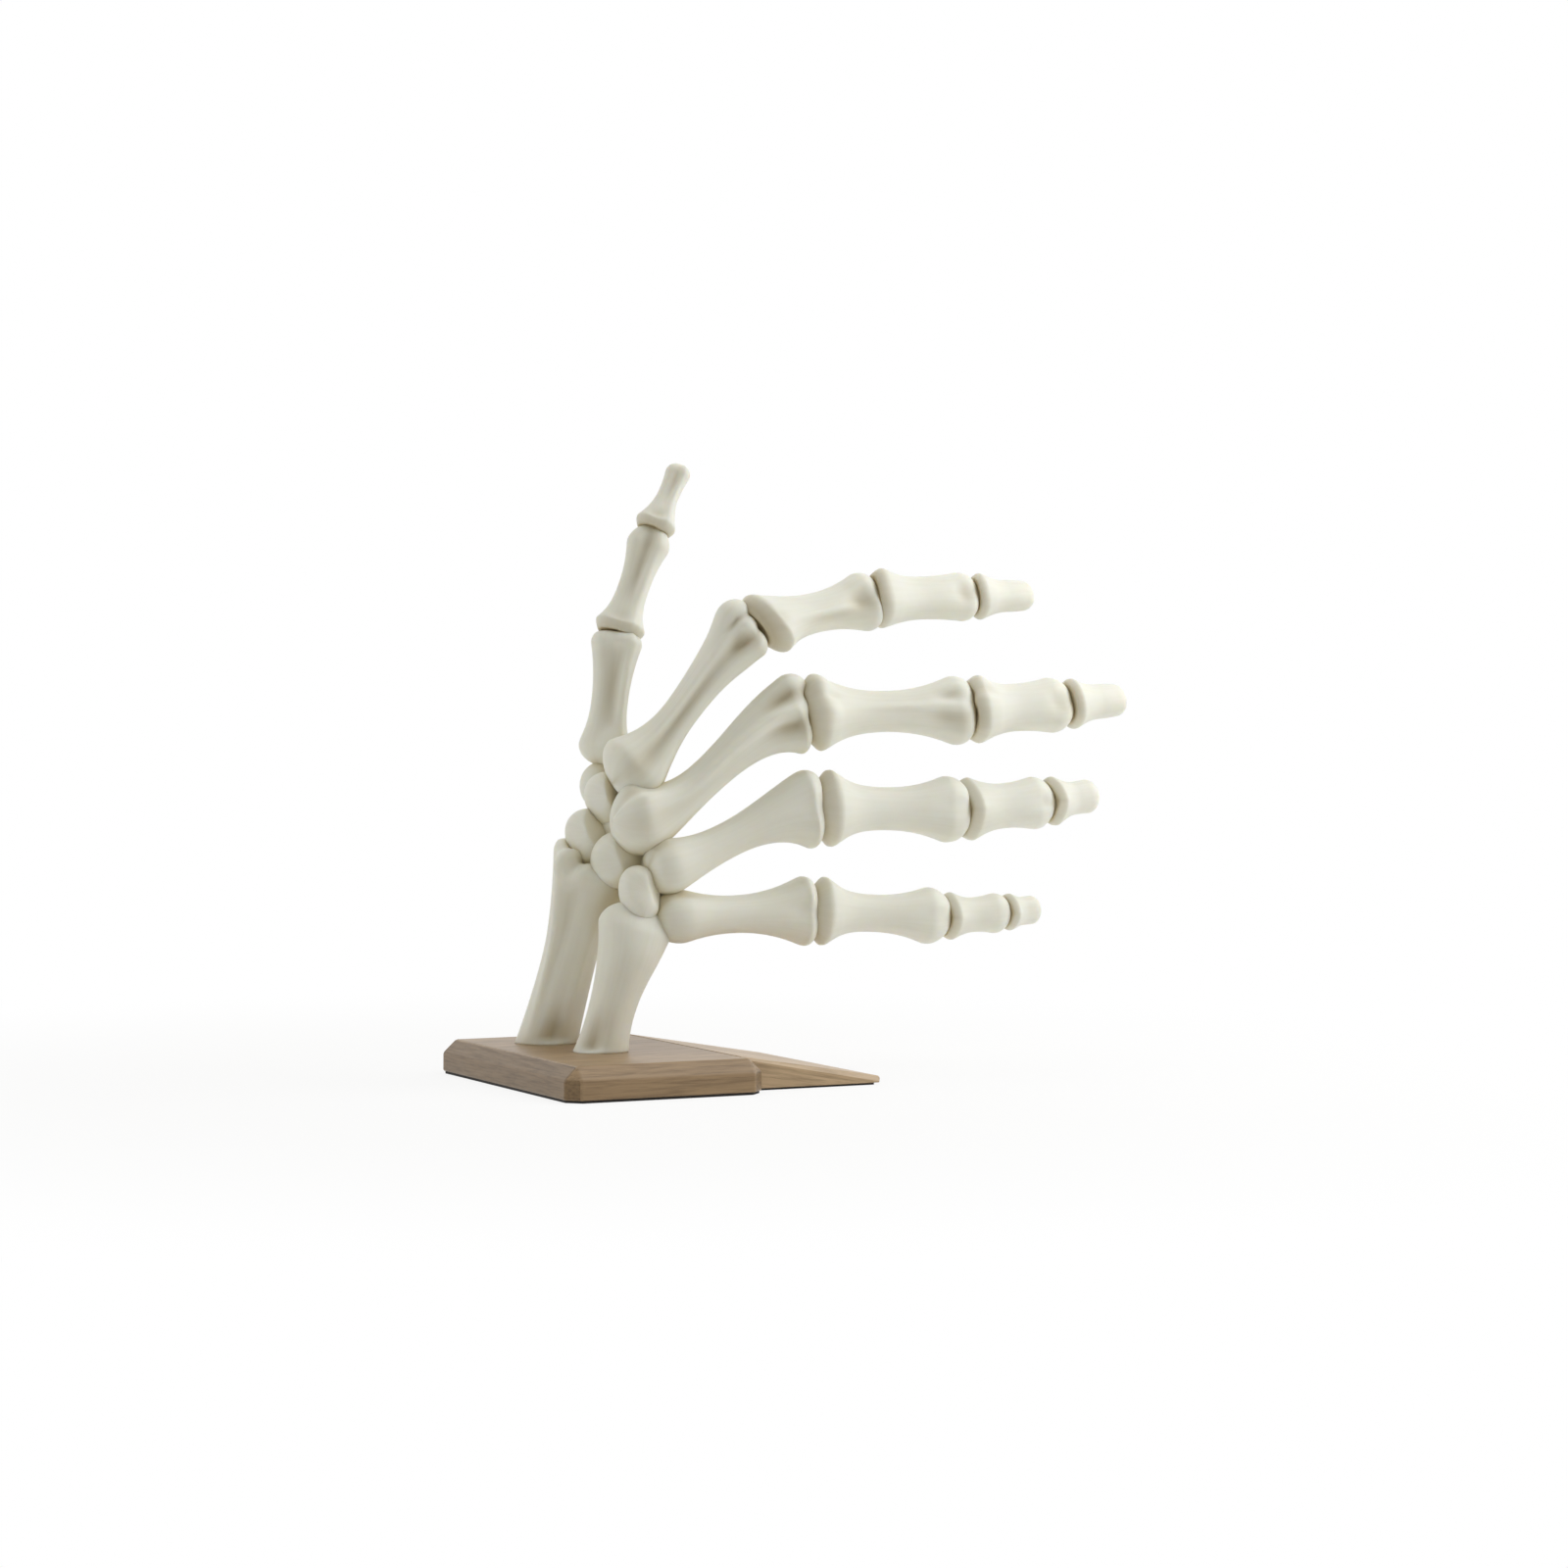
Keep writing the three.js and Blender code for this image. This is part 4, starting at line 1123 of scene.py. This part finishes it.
# Stage, light and camera: the floor is shaded between two distances from the object, the fill goes from
# the viewer's side to the far side, and each lamp has a place, a size and a power
scene = bpy.context.scene
FLOOR_SIZE = 8.0
FLOOR_COLOUR = (0.9, 0.9, 0.9, 1.0)
FLOOR_ROUGHNESS = 0.9
SHADE_NEAR = 0.12
SHADE_FAR = 0.4
SHADE_SHARE = 0.14
FILL_FRONT = 0.18
FILL_BEHIND = 0.6
FILL_LIFT = math.radians(30)
FILL_COLOUR = (1.0, 0.97, 0.87, 1.0)
LAMPS = {
    "right": ((0.56, -0.2, 0.45), 0.5, 2.15),
    "left": ((-0.85, 0.25, 0.45), 0.8, 1.55),
    "above": ((0.2, 0.1, 1.0), 0.9, 1.75),
}
LAMP_TARGET = (0.06, 0.0, 0.09)
LAMP_COLOUR = (0.97, 0.985, 1.0)


def away_from_viewer(lift):
    """Direction that leads away from the viewer and rises by an angle."""
    level = math.cos(lift)
    return (math.sin(CAMERA_TURN) * level, math.cos(CAMERA_TURN) * level, math.sin(lift))


def background_rays(nodes, links):
    """One for rays that show the background: from the camera, off gloss or through glass."""
    paths = nodes.new("ShaderNodeLightPath")
    either = paths.outputs["Is Camera Ray"]
    for kind in ("Is Glossy Ray", "Is Transmission Ray"):
        most = nodes.new("ShaderNodeMath")
        most.operation = "MAXIMUM"
        links.new(either, most.inputs[0])
        links.new(paths.outputs[kind], most.inputs[1])
        either = most.outputs["Value"]
    return either


def mix_shaders(nodes, links, factor, first, second):
    node = nodes.new("ShaderNodeMixShader")
    links.new(factor, node.inputs["Fac"])
    links.new(first, node.inputs[1])
    links.new(second, node.inputs[2])
    return node.outputs["Shader"]


def pale_floor():
    """White to the eye further out, with the object's shadow near it."""
    material, nodes, links, shader = new_material("pale_floor")
    shader.inputs["Base Color"].default_value = FLOOR_COLOUR
    shader.inputs["Roughness"].default_value = FLOOR_ROUGHNESS
    spot = nodes.new("ShaderNodeTexCoord").outputs["Object"]
    away = nodes.new("ShaderNodeVectorMath")
    away.operation = "LENGTH"
    links.new(spot, away.inputs[0])
    share = nodes.new("ShaderNodeMapRange")
    share.interpolation_type = "SMOOTHSTEP"
    share.inputs["From Min"].default_value = SHADE_NEAR
    share.inputs["From Max"].default_value = SHADE_FAR
    share.inputs["To Min"].default_value = 1.0 - SHADE_SHARE
    share.inputs["To Max"].default_value = 1.0
    links.new(away.outputs["Value"], share.inputs["Value"])
    seen = nodes.new("ShaderNodeMath")
    seen.operation = "MULTIPLY"
    links.new(background_rays(nodes, links), seen.inputs[0])
    links.new(share.outputs["Result"], seen.inputs[1])
    white = nodes.new("ShaderNodeEmission")
    both = mix_shaders(nodes, links, seen.outputs["Value"], shader.outputs["BSDF"], white.outputs["Emission"])
    links.new(both, nodes["Material Output"].inputs["Surface"])
    return material


bpy.ops.mesh.primitive_plane_add(size=FLOOR_SIZE)
floor = bpy.context.object
floor.name = "floor"
floor.data.materials.append(pale_floor())

world = bpy.data.worlds.new("studio")
scene.world = world
world.use_nodes = True
sky, sky_links = world.node_tree.nodes, world.node_tree.links
soft = sky["Background"]
soft.inputs["Color"].default_value = FILL_COLOUR
toward = sky.new("ShaderNodeVectorMath")
toward.operation = "DOT_PRODUCT"
toward.inputs[1].default_value = away_from_viewer(FILL_LIFT)
sky_links.new(sky.new("ShaderNodeTexCoord").outputs["Generated"], toward.inputs[0])
level = sky.new("ShaderNodeMapRange")
level.inputs["From Min"].default_value = -1.0
level.inputs["To Min"].default_value = FILL_FRONT
level.inputs["To Max"].default_value = FILL_BEHIND
sky_links.new(toward.outputs["Value"], level.inputs["Value"])
sky_links.new(level.outputs["Result"], soft.inputs["Strength"])
backdrop = sky.new("ShaderNodeBackground")
backdrop.inputs["Color"].default_value = (*WHITE, 1.0)
shown = mix_shaders(
    sky,
    sky_links,
    background_rays(sky, sky_links),
    soft.outputs["Background"],
    backdrop.outputs["Background"],
)
sky_links.new(shown, sky["World Output"].inputs["Surface"])

for name, (place, size, power) in LAMPS.items():
    light = bpy.data.lights.new(f"lamp_{name}", "AREA")
    light.shape = "DISK"
    light.size = size
    light.energy = power
    light.color = LAMP_COLOUR
    lamp = bpy.data.objects.new(f"lamp_{name}", light)
    lamp.location = place
    lamp.rotation_euler = (Vector(LAMP_TARGET) - Vector(place)).to_track_quat("-Z", "Y").to_euler()
    scene.collection.objects.link(lamp)

ahead = Vector(away_from_viewer(-CAMERA_DROP))
camera = bpy.data.objects.new("camera", bpy.data.cameras.new("camera"))
camera.data.sensor_width = SENSOR_WIDTH
camera.data.lens = LENS
camera.location = CAMERA_PLACE
camera.rotation_euler = ahead.to_track_quat("-Z", "Y").to_euler()
scene.collection.objects.link(camera)
scene.camera = camera
scene.view_settings.view_transform = "Standard"
